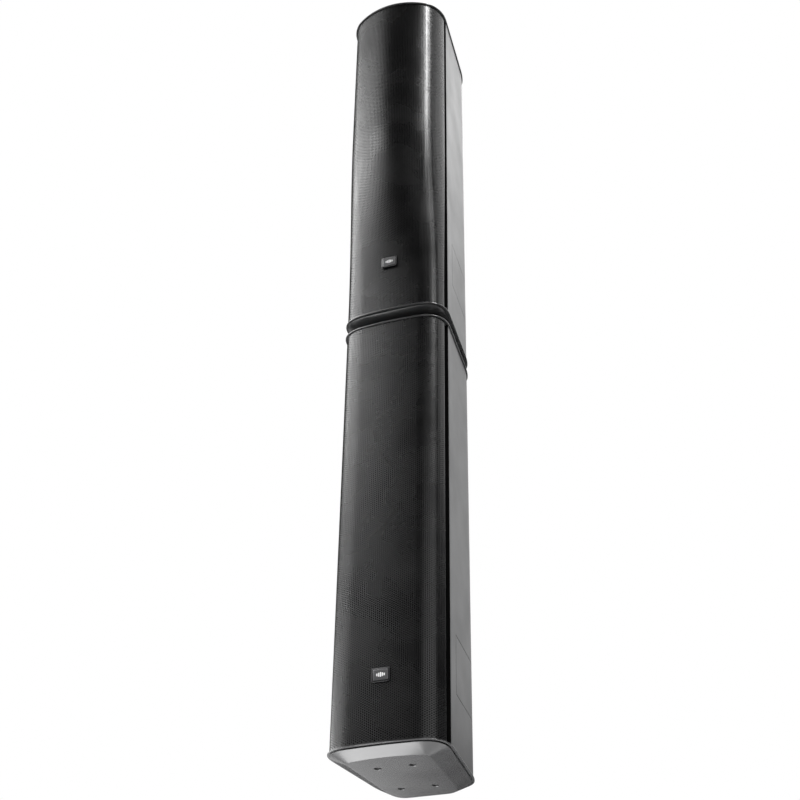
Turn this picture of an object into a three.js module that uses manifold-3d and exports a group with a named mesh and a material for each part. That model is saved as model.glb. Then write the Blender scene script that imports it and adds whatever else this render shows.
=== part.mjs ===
// Two-piece column loudspeaker system: a full-range cabinet standing on an extension cabinet.
// Millimetres, +Z up, the front faces -Y. Plan dimensions are measured from the line through the
// two front corners of a cabinet; the finished group is shifted so that the origin is the middle of
// the footprint, on the surface that the column stands on.

import * as THREE from 'three';
import { mergeVertices } from 'three/addons/utils/BufferGeometryUtils.js';
import Module from 'manifold-3d';

const wasm = await Module();
wasm.setup();

// ---- driving dimensions ----
const PITCH = 1000;             // height of one cabinet, cap to cap
const BOTTOM_CAP = 20;          // height of the bottom cap
const TOP_CAP = 16.3;           // height of the top cap
const HALF_WIDTH = 125;         // at the front corners
const REAR_HALF_WIDTH = 96;     // at the rear corners, before rounding
const DEPTH = 279;              // front corner line to rear face
const LOW_CROWN = 10;           // how far the front bows out, extension cabinet
const HIGH_CROWN = 55;          // the same at the top of the full-range cabinet
const LOW_SHOULDER = 57;        // length of the rounded front corner along the side
const HIGH_SHOULDER = 42;
const REAR_ROUND_SIDE = 62;     // length of the rounded rear corner along the side
const REAR_ROUND_BACK = 30;     // and along the rear face
const WALL = 8;                 // shell wall
const GAP = 0.3;                // air between touching pieces
const LIP = 2.5;                // how far the cap rims stand proud of the shell

const SHELL_FRONT = 46;         // front edge of the side panels
const GRILLE_BACK = 30;         // rear edge of the grille's side returns
const GRILLE_INSET = 1.5;
const GRILLE_SHEET = 2;

const LIP_HEIGHT = 3.5;
const GROOVE_HEIGHT = 2.5;
const GROOVE_DEPTH = 5;
const SLOPE_INSET = 2.5;        // a cap's sloping face starts under the overhanging rim
const PLATE_HALF = 83;          // the flat plate in the middle of a cap
const PLATE_REAR_HALF = 68;
const PLATE_FRONT = 27;
const PLATE_REAR_MARGIN = 21;
const PLATE_CROWN = 12;
const PLATE_SHOULDER = 9;
const PLATE_ROUND_SIDE = 45;
const PLATE_ROUND_BACK = 28;
const PLATE_FRONT_PER_CROWN = 0.6;   // how the plate follows a front that bows out further
const PLATE_CROWN_PER_CROWN = 0.3;
const INSERT_R = 7;
const INSERT_DEPTH = 10;
const INSERT_SPACING_X = 70;
const INSERT_SPACING_Y = 127;
const INSERT_MIDDLE = 136;      // plan position of the insert pattern's middle

const BAFFLE_FRONT = 34;
const BAFFLE_BACK = SHELL_FRONT;
const BAFFLE_HALF = 110;

const WOOFERS = 6;
const WOOFER_PITCH = 157;
const WOOFER_R = 78;
const CUTOUT_R = 68;
const CONE_R = 62;
const WOOFER_TURN = 12;         // facets round a woofer

const COVER_FRONT = 93;         // front edge of the wrap-round connector cover
const COVER_LOW = 136;
const COVER_HIGH = 258;
const COVER_SHEET = 3.6;
const COVER_CLEARANCE = 0.5;    // all round the cover, in its rebate
const REBATE = 4;
const OUTLET_HALF = 22;         // half width of the cable outlet in the cover
const OUTLET_HEIGHT = 26;

const CUP_HALF = 40;            // inside of the terminal cup
const CUP_LOW = 146;
const CUP_HIGH = 248;
const CUP_DEPTH = 26;
const CUP_WALL = 3;

const TWEETERS = 24;
const TWEETER_PITCH = 38.6;
const TWEETER_R = 12.5;
const TWEETER_TURN = 10;        // facets round a tweeter
const TWEETER_MODULES = 4;
const TWEETER_BAR_HALF = 24;
const TWEETER_BAR_FRONT = -3;
const TWEETER_BAR_BACK = 7;

const COUPLER_SHEET = 4;        // the steel plates that join the cabinets at the rear

const SECTION_STEPS = 5;        // facets in a rounded corner of a plan outline
const GRILLE_STEPS = 22;        // facets across a grille

const SHELL_LOW = BOTTOM_CAP;
const SHELL_HIGH = PITCH - TOP_CAP;
const FIRST_WOOFER = (SHELL_LOW + SHELL_HIGH - (WOOFERS - 1) * WOOFER_PITCH) / 2;
const CENTRE_Y = (DEPTH + GAP + COUPLER_SHEET - HIGH_CROWN) / 2;

const paint = {
  shell: new THREE.MeshStandardMaterial({ color: 0x3a3a3c, roughness: 0.5, metalness: 0 }),
  cap: new THREE.MeshStandardMaterial({ color: 0x3e3e40, roughness: 0.4, metalness: 0 }),
  grille: new THREE.MeshStandardMaterial({ color: 0x1b1b1c, roughness: 0.45, metalness: 0.5 }),
  black: new THREE.MeshStandardMaterial({ color: 0x101011, roughness: 0.7, metalness: 0 }),
  cone: new THREE.MeshStandardMaterial({ color: 0x232324, roughness: 0.8, metalness: 0 }),
  metal: new THREE.MeshStandardMaterial({ color: 0x55575a, roughness: 0.4, metalness: 0.8 }),
  board: new THREE.MeshStandardMaterial({ color: 0x1f4a2c, roughness: 0.6, metalness: 0 }),
  badge: new THREE.MeshStandardMaterial({ color: 0x2a2a2b, roughness: 0.3, metalness: 0.6 }),
};

const system = new THREE.Group();
system.position.y = -CENTRE_Y;

function addPart(group, name, geometry, material) {
  const mesh = new THREE.Mesh(geometry, material);
  mesh.name = name;
  group.add(mesh);
}

// ---- solids ----
function toSolid(geometry) {
  const bare = geometry.clone();
  bare.deleteAttribute('normal');
  bare.deleteAttribute('uv');
  const merged = mergeVertices(bare, 1e-4);
  return new wasm.Manifold(new wasm.Mesh({
    numProp: 3,
    vertProperties: new Float32Array(merged.attributes.position.array),
    triVerts: new Uint32Array(merged.index.array),
  }));
}

function toGeometry(solid) {
  const mesh = solid.getMesh();
  const geometry = new THREE.BufferGeometry();
  geometry.setAttribute('position', new THREE.BufferAttribute(new Float32Array(mesh.vertProperties), 3));
  geometry.setIndex(new THREE.BufferAttribute(new Uint32Array(mesh.triVerts), 1));
  return geometry;
}

function cut(geometry, tools) {
  return toGeometry(tools.reduce((solid, tool) => solid.subtract(toSolid(tool)), toSolid(geometry)));
}

function join(geometries) {
  return toGeometry(geometries.map(toSolid).reduce((solid, next) => solid.add(next)));
}

function box(x0, x1, y0, y1, z0, z1) {
  const geometry = new THREE.BoxGeometry(x1 - x0, y1 - y0, z1 - z0);
  return geometry.translate((x0 + x1) / 2, (y0 + y1) / 2, (z0 + z1) / 2);
}

function uprightCylinder(radius, x, y, z0, z1, facets = 14) {
  const geometry = new THREE.CylinderGeometry(radius, radius, z1 - z0, facets);
  return geometry.rotateX(Math.PI / 2).translate(x, y, (z0 + z1) / 2);
}

function levelCylinder(radius, x, z, y0, y1, facets = 14) {
  const geometry = new THREE.CylinderGeometry(radius, radius, y1 - y0, facets);
  return geometry.translate(x, (y0 + y1) / 2, z);
}

// A solid of revolution about a line along Y through (x, z). The profile holds [radius, y] pairs.
function turned(profile, x, z, facets) {
  const points = profile.map(([radius, y]) => new THREE.Vector2(radius, y));
  return new THREE.LatheGeometry(points, facets).translate(x, 0, z);
}

function prism(points, z0, z1) {
  const shape = new THREE.Shape(points);
  return new THREE.ExtrudeGeometry(shape, { depth: z1 - z0, bevelEnabled: false }).translate(0, 0, z0);
}

// A closed solid through outlines that all have the same number of points, from bottom to top.
function loft(rings) {
  const count = rings[0].points.length;
  const positions = rings.flatMap(({ points, z }) => points.flatMap((p) => [p.x, p.y, z]));
  const index = [];
  for (let ring = 0; ring < rings.length - 1; ring += 1) {
    for (let i = 0; i < count; i += 1) {
      const a = ring * count + i;
      const b = ring * count + ((i + 1) % count);
      index.push(a, b, b + count, a, b + count, a + count);
    }
  }
  const top = (rings.length - 1) * count;
  for (const [a, b, c] of THREE.ShapeUtils.triangulateShape(rings[0].points, [])) {
    index.push(c, b, a);
  }
  for (const [a, b, c] of THREE.ShapeUtils.triangulateShape(rings[rings.length - 1].points, [])) {
    index.push(top + a, top + b, top + c);
  }
  const geometry = new THREE.BufferGeometry();
  geometry.setAttribute('position', new THREE.Float32BufferAttribute(positions, 3));
  geometry.setIndex(index);
  return geometry;
}

// ---- plan outlines ----
// A bowed front, rounded front corners, sides that close in towards the rear, rounded rear corners.
// The right half is drawn from the front's middle to the rear's middle, and mirrored.
function planOutline({ half, rearHalf, front, rear, crown, shoulder, roundSide, roundBack }) {
  const radius = (half * half + crown * crown) / (2 * crown);
  const sweep = Math.asin(half / radius) - shoulder / radius;
  const side = new THREE.Vector2(rearHalf - half, rear - front).normalize();
  const frontEnd = new THREE.Vector2(half, front).addScaledVector(side, shoulder);
  const rearEnd = new THREE.Vector2(rearHalf, rear).addScaledVector(side, -roundSide);
  const path = new THREE.Path();
  path.absarc(0, front - crown + radius, radius, -Math.PI / 2, -Math.PI / 2 + sweep, false);
  path.quadraticCurveTo(half, front, frontEnd.x, frontEnd.y);
  path.lineTo(rearEnd.x, rearEnd.y);
  path.quadraticCurveTo(rearHalf, rear, rearHalf - roundBack, rear);
  path.lineTo(0, rear);
  const right = path.getPoints(SECTION_STEPS);
  const left = right.slice(1, -1).reverse().map((p) => new THREE.Vector2(-p.x, p.y));
  return [...right, ...left];
}

function cabinetOutline(crown, shoulder, inset = 0) {
  return planOutline({
    half: HALF_WIDTH - inset,
    rearHalf: REAR_HALF_WIDTH - inset,
    front: 0,
    rear: DEPTH - inset,
    crown: crown - inset,
    shoulder,
    roundSide: REAR_ROUND_SIDE - inset,
    roundBack: REAR_ROUND_BACK - inset,
  });
}

function crossing(p, q, y) {
  const t = (y - p.y) / (q.y - p.y);
  return new THREE.Vector2(p.x + t * (q.x - p.x), y);
}

// The open stretch of an outline that lies behind (sign 1) or in front of (sign -1) the line at y.
function openStretch(outline, y, sign) {
  const inside = outline.map((p) => sign * (p.y - y) > 0);
  const count = outline.length;
  const start = inside.findIndex((value, i) => value && !inside[(i + count - 1) % count]);
  const points = [crossing(outline[(start + count - 1) % count], outline[start], y)];
  let i = start;
  while (inside[i % count]) {
    points.push(outline[i % count]);
    i += 1;
  }
  points.push(crossing(outline[(i - 1) % count], outline[i % count], y));
  return points;
}

// A sheet that follows an outline: its outer face on one stretch, its inner face on another.
function bandBetween(outer, inner) {
  return [...outer, ...[...inner].reverse()];
}

function evenly(points, steps) {
  return new THREE.Path(points).getSpacedPoints(steps);
}

// ---- cabinet pieces ----
function shell() {
  const outer = openStretch(cabinetOutline(LOW_CROWN, LOW_SHOULDER), SHELL_FRONT, 1);
  const inner = openStretch(cabinetOutline(LOW_CROWN, LOW_SHOULDER, WALL), SHELL_FRONT, 1);
  const body = prism(bandBetween(outer, inner), SHELL_LOW + GAP, SHELL_HIGH - GAP);
  const rebateFront = COVER_FRONT - COVER_CLEARANCE;
  const outside = openStretch(cabinetOutline(LOW_CROWN, LOW_SHOULDER, -WALL), rebateFront, 1);
  const floor = openStretch(cabinetOutline(LOW_CROWN, LOW_SHOULDER, REBATE), rebateFront, 1);
  const rebate = prism(
    bandBetween(outside, floor), COVER_LOW - COVER_CLEARANCE, COVER_HIGH + COVER_CLEARANCE,
  );
  const window = box(-CUP_HALF, CUP_HALF, DEPTH - 3 * WALL, DEPTH + WALL, CUP_LOW, CUP_HIGH);
  return cut(body, [rebate, window, ...bracketHoles()]);
}

// Blind threaded holes for a wall bracket, near the top and the bottom of the rear wall.
const BRACKET_R = 4;
const BRACKET_FLOOR = 2;        // wall left in front of the hole's end
const BRACKET_SPACING = 60;
const BRACKET_LEVELS = [330, 400, 800, 870];
function bracketHoles() {
  const sides = [-BRACKET_SPACING / 2, BRACKET_SPACING / 2];
  return BRACKET_LEVELS.flatMap((z) => sides.map(
    (x) => levelCylinder(BRACKET_R, x, z, DEPTH - WALL + BRACKET_FLOOR, DEPTH + WALL, 10),
  ));
}

function connectorCover() {
  const outer = openStretch(cabinetOutline(LOW_CROWN, LOW_SHOULDER), COVER_FRONT, 1);
  const inner = openStretch(cabinetOutline(LOW_CROWN, LOW_SHOULDER, COVER_SHEET), COVER_FRONT, 1);
  const sheet = prism(bandBetween(outer, inner), COVER_LOW, COVER_HIGH);
  const outlet = box(-OUTLET_HALF, OUTLET_HALF, DEPTH - 2 * WALL, DEPTH + WALL,
    COVER_LOW - WALL, COVER_LOW + OUTLET_HEIGHT);
  return cut(sheet, [outlet]);
}

function baffle() {
  const plate = box(-BAFFLE_HALF, BAFFLE_HALF, BAFFLE_FRONT, BAFFLE_BACK, SHELL_LOW + GAP, SHELL_HIGH - GAP);
  return cut(plate, wooferLevels().map(
    (z) => levelCylinder(CUTOUT_R, 0, z, BAFFLE_FRONT - WALL, BAFFLE_BACK + WALL, WOOFER_TURN),
  ));
}

const FRAME_RAIL_IN = 97;
const FRAME_RAIL_OUT = 104;
const FRAME_FRONT = 14;
const FRAME_BAR = 8;
function grilleFrame() {
  const back = BAFFLE_FRONT - GAP;
  const low = SHELL_LOW + 2 * GAP;
  const high = SHELL_HIGH - 2 * GAP;
  const slab = box(-FRAME_RAIL_OUT, FRAME_RAIL_OUT, FRAME_FRONT, back, low, high);
  const hollow = box(-FRAME_RAIL_IN, FRAME_RAIL_IN, FRAME_FRONT - WALL, back + WALL,
    low + FRAME_BAR, high - FRAME_BAR);
  return cut(slab, [hollow]);
}

// The full-range cabinet's grille bows out more and more up to BOW_FULL of its height.
const BOW_START = 0.02;
const BOW_FULL = 0.58;
const GRILLE_LEVELS = 14;
function grilleSection(bow) {
  const crown = THREE.MathUtils.lerp(LOW_CROWN, HIGH_CROWN, bow);
  const shoulder = THREE.MathUtils.lerp(LOW_SHOULDER, HIGH_SHOULDER, bow);
  const face = (inset) => evenly(
    openStretch(cabinetOutline(crown, shoulder, inset), GRILLE_BACK, -1), GRILLE_STEPS,
  );
  return bandBetween(face(GRILLE_INSET), face(GRILLE_INSET + GRILLE_SHEET));
}

function grille(bows) {
  const low = SHELL_LOW + GAP;
  const high = SHELL_HIGH - GAP;
  const levels = bows ? GRILLE_LEVELS : 1;
  const rings = [];
  for (let i = 0; i <= levels; i += 1) {
    const t = i / levels;
    const bow = bows ? THREE.MathUtils.smoothstep(t, BOW_START, BOW_FULL) : 0;
    rings.push({ points: grilleSection(bow), z: low + t * (high - low) });
  }
  return loft(rings);
}

// A cap: rim, shadow groove, then a sloping face that runs in to a flat plate.
function capRings(crown, shoulder, height) {
  const extraCrown = crown - LOW_CROWN;
  const plate = planOutline({
    half: PLATE_HALF,
    rearHalf: PLATE_REAR_HALF,
    front: PLATE_FRONT - extraCrown * PLATE_FRONT_PER_CROWN,
    rear: DEPTH - PLATE_REAR_MARGIN,
    crown: PLATE_CROWN + extraCrown * PLATE_CROWN_PER_CROWN,
    shoulder: PLATE_SHOULDER,
    roundSide: PLATE_ROUND_SIDE,
    roundBack: PLATE_ROUND_BACK,
  });
  const rim = cabinetOutline(crown, shoulder, -LIP);
  const groove = cabinetOutline(crown, shoulder, GROOVE_DEPTH);
  const slope = cabinetOutline(crown, shoulder, SLOPE_INSET);
  const grooveHigh = height - LIP_HEIGHT;
  const grooveLow = grooveHigh - GROOVE_HEIGHT;
  return [
    { points: plate, z: 0 },
    { points: slope, z: grooveLow },
    { points: groove, z: grooveLow },
    { points: groove, z: grooveHigh },
    { points: rim, z: grooveHigh },
    { points: rim, z: height },
  ];
}

function insertHoles(z0, z1) {
  const holes = [];
  for (const x of [-INSERT_SPACING_X / 2, INSERT_SPACING_X / 2]) {
    for (const y of [INSERT_MIDDLE - INSERT_SPACING_Y / 2, INSERT_MIDDLE + INSERT_SPACING_Y / 2]) {
      holes.push(uprightCylinder(INSERT_R, x, y, z0, z1));
    }
  }
  return holes;
}

function bottomCap() {
  const body = loft(capRings(LOW_CROWN, LOW_SHOULDER, BOTTOM_CAP));
  return cut(body, insertHoles(-WALL, INSERT_DEPTH));
}

function topCap(crown, shoulder) {
  const rings = capRings(crown, shoulder, TOP_CAP)
    .map(({ points, z }) => ({ points, z: PITCH - GAP - z }))
    .reverse();
  return cut(loft(rings), insertHoles(PITCH - INSERT_DEPTH, PITCH + WALL));
}

const BADGE_WIDTH = 37;
const BADGE_HEIGHT = 28;
const BADGE_LEVEL = 151;
const BADGE_SHEET = 3;
const BADGE_CORNER = 3;
function badge(faceY) {
  const radius = BADGE_CORNER;
  const w = BADGE_WIDTH / 2;
  const h = BADGE_HEIGHT / 2;
  const shape = new THREE.Shape();
  shape.absarc(w - radius, h - radius, radius, 0, Math.PI / 2);
  shape.absarc(radius - w, h - radius, radius, Math.PI / 2, Math.PI);
  shape.absarc(radius - w, radius - h, radius, Math.PI, 1.5 * Math.PI);
  shape.absarc(w - radius, radius - h, radius, 1.5 * Math.PI, 2 * Math.PI);
  const plate = new THREE.ExtrudeGeometry(shape, {
    depth: BADGE_SHEET, bevelEnabled: false, curveSegments: 3,
  });
  return plate.rotateX(Math.PI / 2).translate(0, faceY, BADGE_LEVEL);
}

// ---- connections ----
const PANEL_BACK = DEPTH - WALL - GAP;       // rear face of the terminal cup's flange
const CUP_FLOOR = PANEL_BACK - CUP_DEPTH;    // the face that carries the sockets
const CUP_FLANGE = 5;
const SOCKET_R = 12;
const SOCKET_BORE = 9;
const SOCKET_RIM = 3;           // the rim's reach beyond the body
const SOCKET_PROUD = 5;
const SOCKET_LENGTH = 31;
const SOCKET_BEVEL = 2;
const SOCKET_FLOOR = 6;
const SOCKET_HOLE = 12.5;
const SOCKET_LEVEL = 224;
const SOCKET_X = 19;
const SWITCH_LEVEL = 165;
const SWITCH_X = 19;
const SWITCH_SLOT_HALF = 7;
const SWITCH_SLOT_HIGH = 3;
const SWITCH_TRAVEL = 4;
const OVERLAP = 1;              // how far joined or cutting solids run into each other

function terminalCup(withSwitches) {
  const flange = box(-CUP_HALF - CUP_FLANGE, CUP_HALF + CUP_FLANGE, PANEL_BACK - CUP_WALL, PANEL_BACK,
    CUP_LOW - CUP_FLANGE, CUP_HIGH + CUP_FLANGE);
  const tub = box(-CUP_HALF, CUP_HALF, CUP_FLOOR - CUP_WALL, PANEL_BACK - OVERLAP, CUP_LOW, CUP_HIGH);
  const hollow = box(-CUP_HALF + CUP_WALL, CUP_HALF - CUP_WALL, CUP_FLOOR, DEPTH + WALL,
    CUP_LOW + CUP_WALL, CUP_HIGH - CUP_WALL);
  const openings = [hollow];
  const behind = CUP_FLOOR - CUP_WALL - OVERLAP;
  for (const x of [-SOCKET_X, SOCKET_X]) {
    openings.push(levelCylinder(SOCKET_HOLE, x, SOCKET_LEVEL, behind, CUP_FLOOR + OVERLAP));
  }
  if (withSwitches) {
    for (const x of [-SWITCH_X, SWITCH_X]) {
      openings.push(box(x - SWITCH_SLOT_HALF, x + SWITCH_SLOT_HALF, behind, CUP_FLOOR + OVERLAP,
        SWITCH_LEVEL - SWITCH_SLOT_HIGH, SWITCH_LEVEL + SWITCH_SLOT_HIGH));
    }
  }
  return cut(join([flange, tub]), openings);
}

function socket(x) {
  const rim = CUP_FLOOR + SOCKET_PROUD;
  const back = rim - SOCKET_LENGTH;
  const seat = CUP_FLOOR + GAP;
  const bevel = rim - SOCKET_BEVEL;
  const profile = [
    [0, back], [SOCKET_R, back], [SOCKET_R, seat], [SOCKET_R + SOCKET_RIM, seat],
    [SOCKET_R + SOCKET_RIM, bevel], [SOCKET_R, rim], [SOCKET_BORE, rim],
    [SOCKET_BORE, back + SOCKET_FLOOR], [0, back + SOCKET_FLOOR],
  ];
  return turned(profile, x, SOCKET_LEVEL, 16);
}

// A screw terminal block with a low wall on each side of every way.
const STRIP_LEVEL = 192;
const STRIP_HALF = 30;
const STRIP_HALF_HEIGHT = 9;
const STRIP_BASE = 6;
const STRIP_WALL_HEIGHT = 13;
const STRIP_WALL = 2;
const STRIP_WAYS = 4;
function barrierStrip() {
  const face = CUP_FLOOR + GAP;
  const low = STRIP_LEVEL - STRIP_HALF_HEIGHT;
  const high = STRIP_LEVEL + STRIP_HALF_HEIGHT;
  const pieces = [box(-STRIP_HALF, STRIP_HALF, face, face + STRIP_BASE, low, high)];
  const wayPitch = (2 * STRIP_HALF - STRIP_WALL) / STRIP_WAYS;
  for (let i = 0; i <= STRIP_WAYS; i += 1) {
    const x = -STRIP_HALF + i * wayPitch;
    pieces.push(box(x, x + STRIP_WALL, face + STRIP_BASE - OVERLAP, face + STRIP_WALL_HEIGHT, low, high));
  }
  return join(pieces);
}

// The slider of a two-position switch: a button on a foot that stays behind the cup's floor.
const FOOT_HALF = 10;
const FOOT_HALF_HEIGHT = 5;
const FOOT_SHEET = 3.7;
const BUTTON_HALF = 3.5;
const BUTTON_PROUD = 4;
function switchSlider(x) {
  const restX = x - SWITCH_TRAVEL / 2;
  const footFace = CUP_FLOOR - CUP_WALL - GAP;
  const foot = box(restX - FOOT_HALF, restX + FOOT_HALF, footFace - FOOT_SHEET, footFace,
    SWITCH_LEVEL - FOOT_HALF_HEIGHT, SWITCH_LEVEL + FOOT_HALF_HEIGHT);
  const button = box(restX - BUTTON_HALF, restX + BUTTON_HALF, footFace - OVERLAP, CUP_FLOOR + BUTTON_PROUD,
    SWITCH_LEVEL - SWITCH_SLOT_HIGH + GAP, SWITCH_LEVEL + SWITCH_SLOT_HIGH - GAP);
  return join([foot, button]);
}

// Crossover board on four posts behind the bracket zone, with its two largest coils.
const BOARD_LOW = 480;
const BOARD_HIGH = 600;
const BOARD_HALF = 38;
const BOARD_SHEET = 2;
const POST_R = 3;
const POST_LENGTH = 12;
const POST_MARGIN = 6;
const COIL_CORE_R = 16;
const COIL_CORE_LENGTH = 19;
const COIL_CORE_X = -8;
const COIL_CORE_LEVELS = [514, 570];
function crossoverBoard() {
  const rear = PANEL_BACK - POST_LENGTH;
  const front = rear - BOARD_SHEET;
  const pieces = [box(-BOARD_HALF, BOARD_HALF, front, rear, BOARD_LOW, BOARD_HIGH)];
  for (const x of [-BOARD_HALF + POST_MARGIN, BOARD_HALF - POST_MARGIN]) {
    for (const z of [BOARD_LOW + POST_MARGIN, BOARD_HIGH - POST_MARGIN]) {
      pieces.push(levelCylinder(POST_R, x, z, rear - OVERLAP, PANEL_BACK, 8));
    }
  }
  for (const z of COIL_CORE_LEVELS) {
    pieces.push(levelCylinder(COIL_CORE_R, COIL_CORE_X, z, rear - OVERLAP - COIL_CORE_LENGTH,
      rear - OVERLAP, 12));
  }
  return join(pieces);
}

// ---- drivers ----
function wooferLevels() {
  return Array.from({ length: WOOFERS }, (_, i) => FIRST_WOOFER + i * WOOFER_PITCH);
}

const FLANGE_FRONT = BAFFLE_FRONT - 4;
const FLANGE_BACK = BAFFLE_FRONT - GAP;
const BASKET_IN = CONE_R + 2;
const BASKET_OUT = CUTOUT_R - 1.5;
const BASKET_SHEET = 2;
const BASKET_BEND = 50;         // where the basket leaves the cutout and tapers to the magnet
const MAGNET_R = 46;
const MAGNET_FRONT = 84;
const MAGNET_BACK = 106;
const MAGNET_RECESS = 6;
function wooferFrame(z) {
  const floor = MAGNET_FRONT + MAGNET_RECESS;
  const profile = [
    [0, floor], [MAGNET_R - MAGNET_RECESS, floor], [BASKET_IN, BASKET_BEND], [BASKET_IN, FLANGE_FRONT],
    [WOOFER_R, FLANGE_FRONT], [WOOFER_R, FLANGE_BACK], [BASKET_OUT, FLANGE_BACK],
    [BASKET_OUT, BASKET_BEND + BASKET_SHEET], [MAGNET_R + BASKET_SHEET, MAGNET_FRONT],
    [MAGNET_R, MAGNET_BACK], [0, MAGNET_BACK],
  ];
  return turned(profile, 0, z, WOOFER_TURN);
}

// Surround, cone and voice coil of a woofer, which move as one piece.
const SURROUND_FRONT = FLANGE_FRONT - 2;
const SURROUND_CREST_R = 56;
const SURROUND_EDGE = 33;       // the surround's front at its outer edge
const SURROUND_SHEET = 3;
const PULP = 4;                 // the cone's thickness, front to back
const CONE_OUTER_R = 50;
const CONE_MOUTH = 34;
const CONE_THROAT = 55;
const COIL_R = 20;
const COIL_BACK = 66;
function wooferCone(z) {
  const profile = [
    [0, CONE_THROAT], [COIL_R - 2, CONE_THROAT], [CONE_OUTER_R, CONE_MOUTH],
    [SURROUND_CREST_R, SURROUND_FRONT], [CONE_R, SURROUND_EDGE], [CONE_R, SURROUND_EDGE + SURROUND_SHEET],
    [CONE_OUTER_R + 2, CONE_MOUTH + PULP], [COIL_R, COIL_BACK - PULP], [COIL_R, COIL_BACK], [0, COIL_BACK],
  ];
  return turned(profile, 0, z, WOOFER_TURN);
}

const TWEETER_LINE_LOW = (SHELL_LOW + SHELL_HIGH - (TWEETERS - 1) * TWEETER_PITCH) / 2;
const TWEETER_BAR_LOW = SHELL_LOW + 2 * GAP;
const TWEETER_BAR_HIGH = SHELL_HIGH - 2 * GAP;
const TWEETER_CLEARANCE = 1.5;
const TWEETER_DOME_FRONT = 1;
const TWEETER_DOME_R = 8;
const TWEETER_DOME_FALL = 2;    // from the dome's tip to its shoulder
const TWEETER_RIM = 6;          // plan position of a dome's outer edge
const MODULE_DEPTH = 9;
const MODULE_MARGIN = 3;
function tweeterBar() {
  const slab = (front, back, low, high) => box(-TWEETER_BAR_HALF, TWEETER_BAR_HALF, front, back, low, high);
  const footFront = TWEETER_BAR_BACK - OVERLAP;
  const footBack = FRAME_FRONT - GAP;
  const bar = join([
    slab(TWEETER_BAR_FRONT, TWEETER_BAR_BACK, TWEETER_BAR_LOW, TWEETER_BAR_HIGH),
    slab(footFront, footBack, TWEETER_BAR_LOW, TWEETER_BAR_LOW + FRAME_BAR),
    slab(footFront, footBack, TWEETER_BAR_HIGH - FRAME_BAR, TWEETER_BAR_HIGH),
  ]);
  const holes = [];
  for (let i = 0; i < TWEETERS; i += 1) {
    holes.push(levelCylinder(TWEETER_R + TWEETER_CLEARANCE, 0, TWEETER_LINE_LOW + i * TWEETER_PITCH,
      TWEETER_BAR_FRONT - WALL, TWEETER_BAR_BACK + WALL, TWEETER_TURN));
  }
  return cut(bar, holes);
}

function tweeterModule(index) {
  const perModule = TWEETERS / TWEETER_MODULES;
  const first = TWEETER_LINE_LOW + index * perModule * TWEETER_PITCH;
  const last = first + (perModule - 1) * TWEETER_PITCH;
  const back = TWEETER_BAR_BACK + GAP;
  const half = TWEETER_BAR_HALF - MODULE_MARGIN;
  const reach = TWEETER_PITCH / 2 - 1;
  const dome = [
    [0, TWEETER_DOME_FRONT], [TWEETER_DOME_R, TWEETER_DOME_FRONT + TWEETER_DOME_FALL],
    [TWEETER_R, TWEETER_RIM], [TWEETER_R, back + OVERLAP], [0, back + OVERLAP],
  ];
  const pieces = [box(-half, half, back, back + MODULE_DEPTH, first - reach, last + reach)];
  for (let i = 0; i < perModule; i += 1) {
    pieces.push(turned(dome, 0, first + i * TWEETER_PITCH, TWEETER_TURN));
  }
  return join(pieces);
}

// ---- joining the two cabinets ----
const COUPLER_HALF_WIDTH = 11;
const COUPLER_X = 22;
const COUPLER_REACH = 75;
const COUPLER_PAD = 26;         // length of the pad at each end, which rests on the shell
const COUPLER_HOLE_R = 3.3;
function couplerPlate(x) {
  const face = DEPTH + LIP + GAP;
  const left = x - COUPLER_HALF_WIDTH;
  const right = x + COUPLER_HALF_WIDTH;
  const plate = box(left, right, face, face + COUPLER_SHEET, PITCH - COUPLER_REACH, PITCH + COUPLER_REACH);
  const pads = [-1, 1].map((side) => {
    const near = PITCH + side * (COUPLER_REACH - COUPLER_PAD);
    const far = PITCH + side * COUPLER_REACH;
    return box(left, right, DEPTH + GAP, face + OVERLAP, Math.min(near, far), Math.max(near, far));
  });
  const holes = [-1, 1].map((side) => levelCylinder(COUPLER_HOLE_R, x,
    PITCH + side * (COUPLER_REACH - COUPLER_PAD / 2), DEPTH - WALL, face + WALL, 10));
  return cut(join([plate, ...pads]), holes);
}

// ---- assembly ----
function addCabinet(prefix, level, fullRange) {
  const cabinet = new THREE.Group();
  cabinet.position.z = level;
  system.add(cabinet);
  const add = (name, geometry, material) => addPart(cabinet, `${prefix}_${name}`, geometry, material);

  add('shell', shell(), paint.shell);
  add('baffle', baffle(), paint.black);
  add('grille_frame', grilleFrame(), paint.black);
  add('grille', grille(fullRange), paint.grille);
  add('bottom_cap', bottomCap(), paint.cap);
  const topCrown = fullRange ? HIGH_CROWN : LOW_CROWN;
  const topShoulder = fullRange ? HIGH_SHOULDER : LOW_SHOULDER;
  add('top_cap', topCap(topCrown, topShoulder), paint.cap);
  add('badge', badge(badgeFace(fullRange)), paint.badge);
  add('connector_cover', connectorCover(), paint.shell);
  add('terminal_cup', terminalCup(fullRange), paint.black);
  add('socket_left', socket(-SOCKET_X), paint.black);
  add('socket_right', socket(SOCKET_X), paint.black);
  add('barrier_strip', barrierStrip(), paint.black);
  add('crossover_board', crossoverBoard(), paint.board);
  wooferLevels().forEach((z, i) => {
    add(`woofer_frame_${i + 1}`, wooferFrame(z), paint.metal);
    add(`woofer_cone_${i + 1}`, wooferCone(z), paint.cone);
  });
  if (fullRange) {
    add('coverage_switch', switchSlider(-SWITCH_X), paint.metal);
    add('voicing_switch', switchSlider(SWITCH_X), paint.metal);
    add('tweeter_bar', tweeterBar(), paint.black);
    for (let i = 0; i < TWEETER_MODULES; i += 1) {
      add(`tweeter_module_${i + 1}`, tweeterModule(i), paint.metal);
    }
  }
}

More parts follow.
